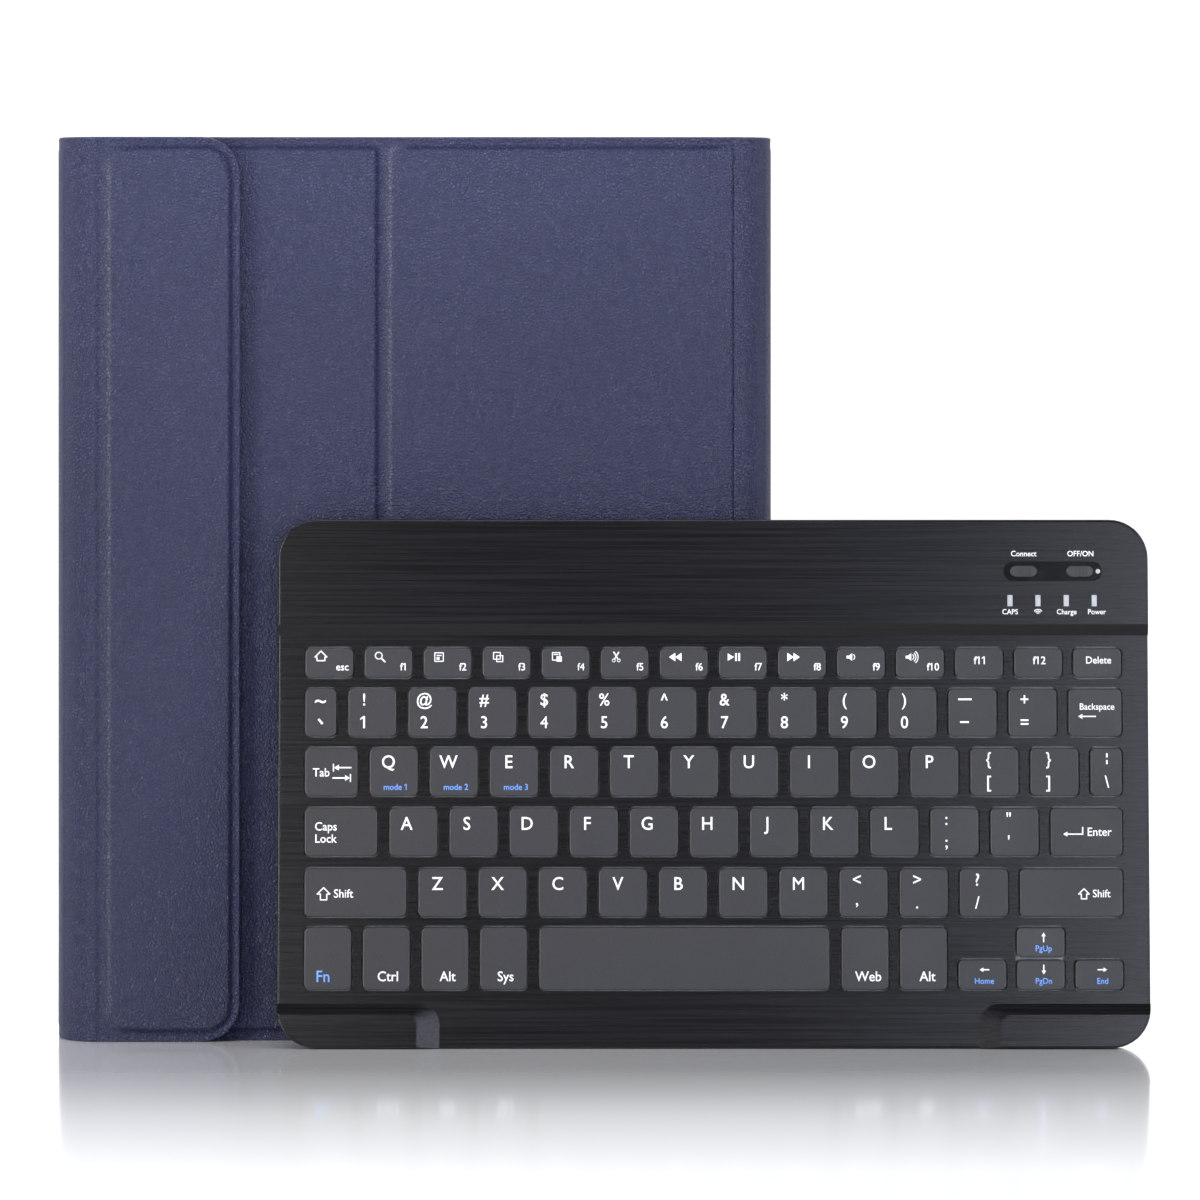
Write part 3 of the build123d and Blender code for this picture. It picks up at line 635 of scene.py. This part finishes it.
Section = namedtuple("Section", "name low high joint way skins linings")
SECTIONS = (
    Section("tablet_cover", 0, SPINE_MIDDLE, "cover_hinge_front", (1, 1),
            ["tablet_cover_skin"], ["tablet_cover_lining"]),
    Section("spine", SPINE_MIDDLE, REAR_MIDDLE, "cover_hinge_rear", (-1, 1),
            ["spine_skin", "keyboard_cover_skin"], ["keyboard_cover_lining"]),
    Section("rear_edge", REAR_MIDDLE, FLAP_SPINE_MIDDLE, "flap_hinge_rear", (-1, -1),
            ["flap_spine_skin"], []),
    Section("flap", FLAP_SPINE_MIDDLE, FLAP_TIP, "flap_hinge_front", (1, -1),
            ["flap_skin"], ["flap_lining"]),
)


def folio():
    """Leather and lining in four sections, which meet at the middles of the spines and of the
    rear.
    """
    leather, lining = leather_material(), lining_material()
    for section in SECTIONS:
        name, low, high = section.name, section.low, section.high
        outer_mesh = layer_mesh(name, low, high, leather_layer, 0, WAVE)
        outer = new_piece(name + "_leather", outer_mesh, leather)
        inner_mesh = layer_mesh(name + "_lining", low, high, lining_layer, LINING_INSET, 0)
        inner = new_piece(name + "_lining", inner_mesh, lining)
        for piece in (outer, inner):
            if name == "tablet_cover":
                cut_camera_window(piece)
            shade(piece.data, 50)
            hinge_blend(piece)
        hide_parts(*section.skins)
        if section.linings:
            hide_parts(*section.linings)


# --- Keyboard ---
# The layout is in millimetres: U to the right, V away from the user, W up from the back.

KEY_MARGIN = 7.75
KEY_PITCH = 16.95
KEY_GAP = 3.35
GRAVE_WIDTH = 8.8                 # the first key of each row
TAB_WIDTH = 14.9
CAPS_LOCK_WIDTH = 20.5
LEFT_SHIFT_WIDTH = 28.7
KEY_TOP = 5.9
BAND_TOP = 6.4
BACK_PLATE_U = 6.0                # the back plate's left, lower, back and front faces
BACK_PLATE_V = 15.0
BACK_PLATE_W = (0.9, 1.2)
FUNCTION_ROW = 103.9
FUNCTION_PITCH = 16.69
NUMBER_ROW = 87.3
UPPER_ROW = 70.6
HOME_ROW = 53.75
LOWER_ROW = 36.75
BOTTOM_ROW = 16.3
BOTTOM_PITCH = 16.5
BOTTOM_RIGHT_START = 159.0
BOTTOM_RIGHT_PITCH = 16.45
UP_ARROW_RISE = 9.1
SLOT_FLOOR = 5.2

INK_LIFT = 0.012
INK_DEPTH = 0.03
TEXT_WIDTH = 0.94                 # the font is drawn this much narrower
BOLD = 0.010
THIN_ONLY = {"M", "4"}            # letters whose outlines cross themselves when thickened
UPPER_LEGEND = 10.5               # heights above a key's lower edge
LOWER_LEGEND = 4.1
SYMBOL_CAP = 3.4                  # heights of capital letters
LETTER_CAP = 3.65
WORD_CAP = 2.35
FUNCTION_CAP = 2.1
BOTTOM_CAP = 2.75


def keyboard_placement():
    """From keyboard millimetres to the row frame, read from a key's travel and the plate."""
    press = next(j for j in frame["joints"] if j["name"] == "press_space_bar")["axis"]
    lean = math.atan2(-press[2], press[1])
    low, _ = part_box("back_plate")
    v = BACK_PLATE_V * MM
    w_low, w_high = (w * MM for w in BACK_PLATE_W)
    origin = Vector((
        low.x - BACK_PLATE_U * MM,
        low.y - v * math.sin(lean) + w_high * math.cos(lean),
        low.z - v * math.cos(lean) - w_low * math.sin(lean)))
    turn = Matrix.Rotation(math.pi / 2 - lean, 4, "X")
    return Matrix.Translation(origin) @ turn @ Matrix.Scale(MM, 4)


class Print:
    """Legends printed on one body: thin raised shapes in two inks."""

    def __init__(self, level):
        self.bm = bmesh.new()
        self.level = level

    def prism(self, outline, ink=0):
        """A flat shape from an outline in keyboard millimetres."""
        tops = [self.bm.verts.new((x, y, INK_DEPTH)) for x, y in outline]
        feet = [self.bm.verts.new((x, y, -INK_DEPTH)) for x, y in outline]
        faces = [self.bm.faces.new(tops), self.bm.faces.new(feet[::-1])]
        for i in range(len(outline)):
            j = (i + 1) % len(outline)
            faces.append(self.bm.faces.new((tops[j], tops[i], feet[i], feet[j])))
        for face in faces:
            face.material_index = ink

    def stroke(self, points, width, closed=False):
        """A line of even width through points."""
        points = [Vector(p) for p in points]
        ends = points[1:] + points[:1] if closed else points[1:]
        for a, b in zip(points, ends):
            along = (b - a).normalized() * width / 2
            side = Vector((-along.y, along.x))
            a, b = a - along * 0.6, b + along * 0.6
            self.prism([a - side, b - side, b + side, a + side])

    def arc(self, centre, radius, start, end, width):
        """A round line between two angles in degrees."""
        steps = max(4, int(abs(end - start) / 18))
        points = []
        for i in range(steps + 1):
            angle = math.radians(start + (end - start) * i / steps)
            points.append((
                centre[0] + radius * math.cos(angle), centre[1] + radius * math.sin(angle)))
        self.stroke(points, width)

    def arrow(self, tail, tip, width=0.34, head=0.95):
        """A straight arrow with a filled head."""
        tail, tip = Vector(tail), Vector(tip)
        along = (tip - tail).normalized()
        side = Vector((-along.y, along.x))
        neck = tip - along * head * 1.25
        self.stroke([tail, neck], width)
        self.prism([tip, neck + side * head * 0.75, neck - side * head * 0.75])

    def text(self, words, u, v, cap, ink=0, align="CENTER"):
        """Words with their capitals' middle at v, centred on u or starting or ending there."""
        mesh = text_mesh(words, cap, align)
        for place, letter in enumerate(words):
            if letter == "1":
                self.flag(mesh, words[:place + 1], u, v, cap, ink)
        mesh.transform(Matrix.Translation((u, v - cap / 2, 0)))
        known = len(self.bm.faces)
        self.bm.from_mesh(mesh)
        self.bm.faces.ensure_lookup_table()
        for face in self.bm.faces[known:]:
            face.material_index = ink
        bpy.data.meshes.remove(mesh)

    def flag(self, mesh, up_to_digit, u, v, cap, ink):
        """The slanted stroke at the top of a 1, which the font draws as a plain bar."""
        left = min(vertex.co.x for vertex in mesh.vertices)
        prefix = text_mesh(up_to_digit, cap, "LEFT")
        ends = [vertex.co.x for vertex in prefix.vertices]
        bpy.data.meshes.remove(prefix)
        right = u + left + max(ends) - min(ends)
        top = v + cap / 2
        bar = 0.14 * cap
        self.prism([
            (right - 0.3 * bar, top), (right - bar, top), (right - 0.40 * cap, top - 0.20 * cap),
            (right - 0.40 * cap, top - 0.32 * cap), (right - 0.3 * bar, top - 0.14 * cap)], ink)

    def finish(self, body, name=None):
        """The print as a piece that rides on a body."""
        name = name or "legends_" + body
        mesh = bpy.data.meshes.new(name)
        bmesh.ops.remove_doubles(self.bm, verts=self.bm.verts, dist=0.0005)
        self.bm.to_mesh(mesh)
        self.bm.free()
        lift = Matrix.Translation((0, 0, self.level + INK_LIFT))
        mesh.transform(PLACEMENT @ lift)
        piece = new_piece(name, mesh, None)
        for material in INKS:
            mesh.materials.append(material)
        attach(piece, body)
        return piece


def text_mesh(words, cap, align, share=None):
    """Flat thick letters from the built-in font, their capitals standing on 0."""
    data = bpy.data.curves.new("legend", "FONT")
    data.body = words
    data.size = cap / (share or CAP_SHARE)
    data.align_x = align
    data.offset = 0 if set(words) & THIN_ONLY else BOLD * cap
    data.extrude = INK_DEPTH
    data.resolution_u = 3
    holder = bpy.data.objects.new("legend", data)
    bpy.context.scene.collection.objects.link(holder)
    bpy.context.view_layer.update()
    graph = bpy.context.evaluated_depsgraph_get()
    mesh = bpy.data.meshes.new_from_object(holder.evaluated_get(graph))
    bpy.data.objects.remove(holder)
    mesh.transform(Matrix.Diagonal((TEXT_WIDTH, 1, 1, 1)))
    return mesh


def capital_share():
    """Height of a capital letter as a share of the font's size."""
    letter = text_mesh("H", 1.0, "LEFT", share=1.0)
    heights = [vertex.co.y for vertex in letter.vertices]
    return max(heights) - min(heights)


PLACEMENT = keyboard_placement()
CAP_SHARE = capital_share()
INKS = []                         # a print's two materials, filled in at the end


def two_on_key(ink, left, bottom, upper, lower, du=4.5):
    """A shifted symbol above its plain one."""
    for mark, dv in ((upper, UPPER_LEGEND), (lower, LOWER_LEGEND)):
        if mark == "dash":
            ink.stroke([(left + du - 1.6, bottom + dv), (left + du + 1.9, bottom + dv)], 0.5)
        elif mark == "hyphen":
            ink.stroke([(left + du - 1.1, bottom + dv), (left + du + 1.1, bottom + dv)], 0.5)
        elif mark == "comma":
            ink.text(",", left + du, bottom + dv + 0.9, SYMBOL_CAP)
        elif mark == "bar":
            ink.stroke([(left + du, bottom + dv + 0.5), (left + du, bottom + dv + 1.4)], 0.45)
            ink.stroke([(left + du, bottom + dv - 0.5), (left + du, bottom + dv - 1.4)], 0.45)
        else:
            ink.text(mark, left + du, bottom + dv, SYMBOL_CAP)


def row_lefts(first_width, count):
    """Left edges of a row's equal keys, after its first key of its own width."""
    start = KEY_MARGIN + first_width + KEY_GAP
    return [start + i * KEY_PITCH for i in range(count)]


def legend(body, draw):
    """A print of its own on one key's body."""
    ink = Print(KEY_TOP)
    draw(ink)
    ink.finish(body)


def number_row():
    ink = Print(KEY_TOP)
    line_shading = [*zip("!@#$%^&*()", "1234567890"), ("dash", "hyphen"), ("+", "=")]
    for left, (upper, lower) in zip(row_lefts(GRAVE_WIDTH, 12), line_shading):
        two_on_key(ink, left, NUMBER_ROW, upper, lower)
    ink.finish("number_row_keys")


def letter_rows():
    ink = Print(KEY_TOP)
    lefts = row_lefts(TAB_WIDTH, 12)
    for left, letter in zip(lefts, "QWERTYUIOP"):
        ink.text(letter, left + 5.3, UPPER_ROW + 9.7, LETTER_CAP)
    for number, left in enumerate(lefts[:3], start=1):
        ink.text(f"mode {number}", left + 7.4, UPPER_ROW + 2.6, 1.7, ink=1)
    two_on_key(ink, lefts[10], UPPER_ROW, "{", "[", 5.1)
    two_on_key(ink, lefts[11], UPPER_ROW, "}", "]", 5.1)
    ink.finish("upper_letter_keys")

    ink = Print(KEY_TOP)
    lefts = row_lefts(CAPS_LOCK_WIDTH, 11)
    for left, letter in zip(lefts, "ASDFGHJKL"):
        ink.text(letter, left + 4.9, HOME_ROW + 9.25, LETTER_CAP)
    two_on_key(ink, lefts[9], HOME_ROW, ":", ";")
    two_on_key(ink, lefts[10], HOME_ROW, '"', "'", 5.1)
    ink.finish("home_letter_keys")

    ink = Print(KEY_TOP)
    lefts = row_lefts(LEFT_SHIFT_WIDTH, 10)
    for left, letter in zip(lefts, "ZXCVBNM"):
        ink.text(letter, left + 5.4, LOWER_ROW + 9.4, LETTER_CAP)
    for left, upper, lower in zip(lefts[7:], "<>?", ("comma", ".", "/")):
        two_on_key(ink, left, LOWER_ROW, upper, lower, 4.9)
    ink.finish("lower_letter_keys")


def house(ink, u, v, size, body=0.5, depth=0.9):
    """Outline of an upward block arrow, or of a house when its body is wide."""
    points = [(-1, 0), (0, 1), (1, 0), (body, 0), (body, -depth), (-body, -depth), (-body, 0)]
    ink.stroke([(u + size * x, v + size * y) for x, y in points], 0.32, closed=True)


def square(ink, u, v, half):
    corners = [(-half, -half), (half, -half), (half, half), (-half, half)]
    ink.stroke([(u + x, v + y) for x, y in corners], 0.26, closed=True)


def circle(u, v, radius):
    turns = [math.pi / 10 * step for step in range(20)]
    return [(u + radius * math.cos(turn), v + radius * math.sin(turn)) for turn in turns]


def magnifier(ink, u, v):
    ink.arc((u - 0.35, v + 0.4), 0.95, 0, 360, 0.34)
    ink.stroke([(u + 0.4, v - 0.35), (u + 1.4, v - 1.35)], 0.42)


def list_icon(ink, u, v):
    square(ink, u, v, 1.2)
    ink.stroke([(u - 0.6, v + 0.45), (u + 0.6, v + 0.45)], 0.28)
    ink.prism([(u - 0.7, v - 0.8), (u + 0.1, v - 0.8), (u + 0.1, v), (u - 0.7, v)])


def copy_icon(ink, u, v):
    square(ink, u - 0.35, v + 0.35, 0.95)
    square(ink, u + 0.45, v - 0.45, 0.85)


def paste_icon(ink, u, v):
    square(ink, u - 0.3, v + 0.2, 1.05)
    ink.prism([(u - 0.2, v - 1.3), (u + 1.3, v - 1.3), (u + 1.3, v + 0.2), (u - 0.2, v + 0.2)])
    ink.stroke([(u - 0.9, v + 0.7), (u + 0.3, v + 0.7)], 0.24)


def scissors(ink, u, v):
    for side in (-1, 1):
        ink.arc((u + 0.7 * side, v - 0.95), 0.4, 0, 360, 0.28)
        ink.stroke([(u + 0.5 * side, v - 0.6), (u - 0.7 * side, v + 1.4)], 0.34)


def triangles(ink, u, v, direction, count):
    for step in range(count):
        back = u + direction * (step - count / 2) * 1.75
        ink.prism([(back, v - 1.2), (back + direction * 1.8, v), (back, v + 1.2)][::direction])


def play_pause(ink, u, v):
    ink.prism([(u - 1.9, v - 1.05), (u - 0.1, v), (u - 1.9, v + 1.05)])
    for x in (0.45, 1.35):
        ink.stroke([(u + x, v - 0.95), (u + x, v + 0.95)], 0.5)


def speaker(ink, u, v, waves):
    ink.prism([
        (u - 1.7, v - 0.4), (u - 1.0, v - 0.4), (u - 0.1, v - 1.1),
        (u - 0.1, v + 1.1), (u - 1.0, v + 0.4), (u - 1.7, v + 0.4)])
    for wave in range(waves):
        ink.arc((u - 0.3, v), 0.9 + 0.62 * wave, -48, 48, 0.26)


def function_row():
    ink = Print(KEY_TOP)
    icons = [
        magnifier, list_icon, copy_icon, paste_icon, scissors,
        lambda i, u, v: triangles(i, u, v, -1, 2), play_pause,
        lambda i, u, v: triangles(i, u, v, 1, 2),
        lambda i, u, v: speaker(i, u, v, 1), lambda i, u, v: speaker(i, u, v, 3)]
    for number in range(1, 13):
        left = KEY_MARGIN + number * FUNCTION_PITCH
        if number <= len(icons):
            icons[number - 1](ink, left + 4.4, FUNCTION_ROW + 5.8)
            ink.text(
                f"f{number}", left + 12.2, FUNCTION_ROW + 3.1, FUNCTION_CAP, align="RIGHT")
        else:
            ink.text(f"f{number}", left + 7.1, FUNCTION_ROW + 4.9, 2.2)
    ink.finish("function_row_keys")

    def escape(ink):
        house(ink, KEY_MARGIN + 4.4, FUNCTION_ROW + 5.8, 1.7, body=0.66, depth=0.6)
        ink.text("esc", KEY_MARGIN + 12.3, FUNCTION_ROW + 3.1, FUNCTION_CAP, align="RIGHT")

    def delete(ink):
        left = KEY_MARGIN + 13 * FUNCTION_PITCH
        ink.text("Delete", left + 7.1, FUNCTION_ROW + 5.0, 2.0)

    legend("escape_key", escape)
    legend("delete_key", delete)


def wide_keys():
    """Legends of the keys at the ends of the rows."""
    def grave(ink):
        ink.text("~", KEY_MARGIN + 4.3, NUMBER_ROW + 10.4, 4.2)
        top, foot = (KEY_MARGIN + 3.9, NUMBER_ROW + 4.8), (KEY_MARGIN + 4.8, NUMBER_ROW + 3.7)
        ink.stroke([top, foot], 0.6)

    def backspace(ink):
        left = row_lefts(GRAVE_WIDTH, 13)[12]
        ink.text("Backspace", left + 8.0, NUMBER_ROW + 8.5, 1.8)
        ink.arrow((left + 7.6, NUMBER_ROW + 5.7), (left + 2.7, NUMBER_ROW + 5.7))

    def tab(ink):
        ink.text("Tab", KEY_MARGIN + 2.2, UPPER_ROW + 6.7, WORD_CAP, align="LEFT")
        for tail, tip, dv in ((13.0, 8.2, 8.0), (7.9, 12.7, 5.1)):
            v = UPPER_ROW + dv
            ink.arrow((KEY_MARGIN + tail, v), (KEY_MARGIN + tip, v), 0.4, 1.1)
            bar = KEY_MARGIN + tip + math.copysign(0.15, tip - tail)
            ink.stroke([(bar, v - 1.0), (bar, v + 1.0)], 0.34)

    def backslash(ink):
        left = row_lefts(TAB_WIDTH, 13)[12]
        two_on_key(ink, left, UPPER_ROW, "bar", "\\", 4.6)

    def caps_lock(ink):
        ink.text("Caps", KEY_MARGIN + 2.8, HOME_ROW + 8.4, WORD_CAP, align="LEFT")
        ink.text("Lock", KEY_MARGIN + 2.8, HOME_ROW + 5.0, WORD_CAP, align="LEFT")

    def enter(ink):
        left = row_lefts(CAPS_LOCK_WIDTH, 12)[11]
        ink.arrow((left + 9.0, HOME_ROW + 6.2), (left + 3.5, HOME_ROW + 6.2))
        ink.stroke([(left + 9.0, HOME_ROW + 6.1), (left + 9.0, HOME_ROW + 8.1)], 0.36)
        ink.text("Enter", left + 10.2, HOME_ROW + 6.9, WORD_CAP, align="LEFT")

    def left_shift(ink):
        house(ink, KEY_MARGIN + 5.4, LOWER_ROW + 6.4, 1.8)
        ink.text("Shift", KEY_MARGIN + 8.2, LOWER_ROW + 6.6, WORD_CAP, align="LEFT")

    def right_shift(ink):
        left = row_lefts(LEFT_SHIFT_WIDTH, 11)[10]
        house(ink, left + 18.0, LOWER_ROW + 6.4, 1.5)
        ink.text("Shift", left + 20.4, LOWER_ROW + 6.6, 2.15, align="LEFT")

    for draw in (grave, backspace, tab, backslash, caps_lock, enter, left_shift, right_shift):
        legend(draw.__name__ + "_key", draw)


def bottom_row():
    left_side = [KEY_MARGIN + i * BOTTOM_PITCH for i in range(4)]
    right_side = [BOTTOM_RIGHT_START + i * BOTTOM_RIGHT_PITCH for i in range(5)]
    words = (
        ("fn_key", left_side[0] + 5.3, "Fn", 3.2, 1),
        ("control_key", left_side[1] + 7.1, "Ctrl", BOTTOM_CAP, 0),
        ("left_alt_key", left_side[2] + 7.4, "Alt", BOTTOM_CAP, 0),
        ("system_key", left_side[3] + 7.2, "Sys", BOTTOM_CAP, 0),
        ("browser_key", right_side[0] + 7.5, "Web", BOTTOM_CAP, 0),
        ("right_alt_key", right_side[1] + 7.7, "Alt", BOTTOM_CAP, 0))
    for body, u, word, cap, colour in words:
        legend(body, lambda ink: ink.text(word, u, BOTTOM_ROW + 3.9, cap, ink=colour))

    arrows = (
        ("left_arrow_key", right_side[2] + 7.2, 0, (-1, 0), "Home"),
        ("down_arrow_key", right_side[3] + 7.5, 0, (0, -1), "PgDn"),
        ("right_arrow_key", right_side[4] + 7.6, 0, (1, 0), "End"),
        ("up_arrow_key", right_side[3] + 7.5, UP_ARROW_RISE, (0, 1), "PgUp"))
    for body, u, rise, way, word in arrows:
        ink = Print(KEY_TOP)
        middle = Vector((u, BOTTOM_ROW + rise + 5.7))
        reach = Vector(way) * 1.3
        ink.arrow(middle - reach, middle + reach, 0.36, 0.85)
        ink.text(word, u, BOTTOM_ROW + rise + 2.6, 1.65, ink=1)
        ink.finish(body)


def band_labels():
    """Labels on the raised band, by the switches and the indicator windows."""
    ink = Print(BAND_TOP)
    ink.text("Connect", 210.8, 138.9, 1.55)
    ink.text("OFF/ON", 226.9, 138.9, 1.55)
    for word, u in (("CAPS", 206.9), ("Charge", 222.9), ("Power", 231.4)):
        ink.text(word, u, 122.5, 1.45)
    for radius in (0.35, 0.85, 1.35):
        ink.arc((214.8, 121.8), radius, 40, 140, 0.26)
    ink.finish("keyboard")

    dot = Print(SLOT_FLOOR)
    dot.prism(circle(231.9, 133.9, 0.65))
    dot.finish("keyboard", name="switch_mark")


# --- Materials for the CAD nodes ---


def paint_nodes():
    """Each carried-over CAD node gets its own surface."""
    keycap = keycap_material()
    board = plain_material("greyboard", (0.25, 0.22, 0.18), (0.36, 0.32, 0.27), 0.9, 900)
    steel = plain_material("plated_steel", (0.42, 0.43, 0.44), (0.56, 0.57, 0.58), 0.3, 1500, 1.0)
    materials = {
        "top_case": brushed_material(),
        "bottom_case": plain_material(
            "back_shell", (0.007, 0.007, 0.008), (0.013, 0.013, 0.015), 0.55, 2600, grain=0.3),
        "tablet_tray": plain_material(
            "tray_moulding", (0.010, 0.010, 0.012), (0.017, 0.017, 0.019), 0.5, 1400),
        "tray_adhesive": plain_material(
            "adhesive_film", (0.55, 0.55, 0.52), (0.68, 0.68, 0.65), 0.6, 700),
        "flap_catch_plates": steel,
        "back_plate": steel,
        "charging_port": steel,
        "keyboard_cover_magnets": plain_material(
            "magnet_plating", (0.48, 0.48, 0.50), (0.6, 0.6, 0.62), 0.22, 800, 1.0),
        "membrane_sheet": plain_material(
            "membrane_film", (0.42, 0.45, 0.47), (0.55, 0.58, 0.6), 0.3, 600),
        "rubber_domes": plain_material(
            "dome_rubber", (0.5, 0.5, 0.48), (0.62, 0.62, 0.6), 0.5, 900),
        "circuit_board": plain_material(
            "circuit_laminate", (0.02, 0.14, 0.06), (0.03, 0.2, 0.09), 0.35, 500),
        "battery": plain_material(
            "battery_pouch", (0.42, 0.43, 0.45), (0.55, 0.56, 0.58), 0.35, 220, 0.8),
        "switch_modules": plain_material(
            "switch_body", (0.03, 0.03, 0.03), (0.05, 0.05, 0.05), 0.5, 900),
        "switch_bezel": plain_material(
            "slot_gloss", (0.004, 0.004, 0.005), (0.007, 0.007, 0.008), 0.12, 300, grain=0.03),
        "led_windows": plain_material(
            "clear_windows", (0.34, 0.35, 0.38), (0.42, 0.43, 0.46), 0.3, 900, grain=0.05),
        "case_screws": plain_material(
            "black_screws", (0.02, 0.02, 0.02), (0.04, 0.04, 0.04), 0.35, 1200, 0.9),
        "rubber_feet": plain_material(
            "foot_rubber", (0.008, 0.008, 0.008), (0.014, 0.014, 0.014), 0.8, 1800, grain=0.4),
        "connect_knob": plain_material(
            "knob_plastic", (0.010, 0.010, 0.012), (0.018, 0.018, 0.021), 0.4, 2200, grain=0.2),
    }
    materials["power_knob"] = materials["connect_knob"]
    materials["flap_magnets"] = materials["keyboard_cover_magnets"]
    for name in ("tablet_board_upper", "tablet_board_lower", "keyboard_cover_board",
                 "flap_board", "spine_board", "flap_spine_board"):
        materials[name] = board
    for name, node in frame["nodes"].items():
        material = materials.get(name)
        if material is None and name.endswith(("_key", "_keys", "space_bar")):
            material = keycap
        if material is None:
            continue
        node.data.materials.clear()
        node.data.materials.append(material)


# --- Stage, light and camera ---


FLOOR_REACH = 6.0                 # half its width
FLOOR_FRONT = -4.0
FLOOR_BACK = 2.6
FLOOR_BEND = 0.8
BEND_STEPS = 16
BACKDROP_HEIGHT = 4.0
FLOOR_ROUGHNESS = 0.12
FLOOR_IOR = 1.45
POLISH_FADES = (0.05, 0.21)       # the floor is most mirror-like where the object stands
FLOOR_POLISH = (0.62, 0.0)
CAMERA_DISTANCE = 1.42
CAMERA_HEIGHT = 0.22
CAMERA_SHIFT = -0.2775
LENS = 150.1
WORLD_STRENGTH = 0.12
COOL = (0.80, 0.86, 1.0)


def stage():
    """A plain pale glossy floor that curves up into a plain backdrop."""
    bend_start = FLOOR_BACK - FLOOR_BEND
    profile = [(FLOOR_FRONT, 0.0), (bend_start, 0.0)]
    for step in range(1, BEND_STEPS + 1):
        angle = math.pi / 2 * step / BEND_STEPS
        profile.append((
            bend_start + FLOOR_BEND * math.sin(angle), FLOOR_BEND - FLOOR_BEND * math.cos(angle)))
    profile.append((FLOOR_BACK, BACKDROP_HEIGHT))
    verts = [(x, y, z) for y, z in profile for x in (-FLOOR_REACH, FLOOR_REACH)]
    faces = [(2 * i, 2 * i + 1, 2 * i + 3, 2 * i + 2) for i in range(len(profile) - 1)]
    floor = bpy.data.meshes.new("floor")
    floor.from_pydata(verts, [], faces)

    def build(nodes, shader):
        haze = nodes.noise(nodes.place("Object"), 1.5, 2.0)
        nodes.link(nodes.blend(haze, FLOOR_DULL, FLOOR_CLEAN), shader.inputs["Base Color"])
        across = nodes.add("ShaderNodeSeparateXYZ")
        nodes.link(nodes.place("Object"), across.inputs[0])
        away = nodes.add("ShaderNodeMath", operation="ABSOLUTE")
        nodes.link(across.outputs["Y"], away.inputs[0])
        polish = nodes.spread(away.outputs[0], *POLISH_FADES, *FLOOR_POLISH)
        nodes.link(polish, shader.inputs["Metallic"])
        shader.inputs["Roughness"].default_value = FLOOR_ROUGHNESS
        shader.inputs["IOR"].default_value = FLOOR_IOR

    piece = new_piece("floor", floor, node_material("pale_floor", build))
    shade(floor)


def softbox(name, place, target, size, power, colour=(1, 1, 1)):
    """A rectangular area light aimed at a point."""
    light = bpy.data.lights.new(name, "AREA")
    light.shape = "RECTANGLE"
    light.size, light.size_y = size
    light.energy = power
    light.color = colour
    lamp = bpy.data.objects.new(name, light)
    bpy.context.scene.collection.objects.link(lamp)
    lamp.location = place
    aim = Vector(target) - Vector(place)
    lamp.rotation_euler = aim.to_track_quat("-Z", "Y").to_euler()


def lights_and_camera():
    """Soft studio light, and the camera low in front of the keyboard."""
    world = bpy.data.worlds.new("studio")
    bpy.context.scene.world = world
    world.use_nodes = True
    backdrop = world.node_tree.nodes["Background"]
    backdrop.inputs["Color"].default_value = (1, 1, 1, 1)
    backdrop.inputs["Strength"].default_value = WORLD_STRENGTH
    middle = (0, 0, 0.13)
    softbox("top_softbox", (0, 0.3, 2.2), (0, 0.3, 0), (4.0, 3.0), 56)
    softbox("backdrop_light", (0, 1.0, 2.6), (0, 2.6, 0.6), (4.0, 0.8), 60)
    softbox("near_right_softbox", (0.50, -1.48, 0.14), middle, (0.2, 0.5), 7, COOL)
    softbox("far_right_softbox", (1.2, -0.4, 0.4), middle, (0.3, 1.0), 13, COOL)
    softbox("near_left_softbox", (-0.47, -1.5, 0.10), middle, (0.14, 0.4), 4)
    softbox("far_left_softbox", (-1.1, -0.5, 0.3), middle, (0.3, 1.0), 19)
    softbox("high_softbox", (-0.15, -0.75, 0.95), (-0.05, 0, 0.24), (0.9, 0.25), 0.8)
    softbox("edge_softbox", (-0.07, -0.09, 0.33), (-0.07, 0, 0.24), (0.3, 0.03), 0.36)

    camera = bpy.data.cameras.new("camera")
    camera.lens = LENS
    camera.sensor_width = 36
    camera.shift_y = CAMERA_SHIFT
    camera.clip_start = 0.05
    camera.clip_end = 50
    holder = bpy.data.objects.new("camera", camera)
    bpy.context.scene.collection.objects.link(holder)
    holder.location = (0, FLAP_FRONT - CAMERA_DISTANCE, CAMERA_HEIGHT)
    holder.rotation_euler = (math.pi / 2, 0, 0)
    bpy.context.scene.camera = holder
    bpy.context.scene.view_settings.view_transform = "Standard"


folio()
INKS += [
    plain_material("ink_white", (0.78, 0.79, 0.80), INK_WHITE, 0.5, 900, grain=0.05),
    plain_material("ink_blue", (0.13, 0.30, 0.80), INK_BLUE, 0.5, 900, grain=0.05),
]
number_row()
letter_rows()
function_row()
wide_keys()
bottom_row()
band_labels()
paint_nodes()
stage()
lights_and_camera()
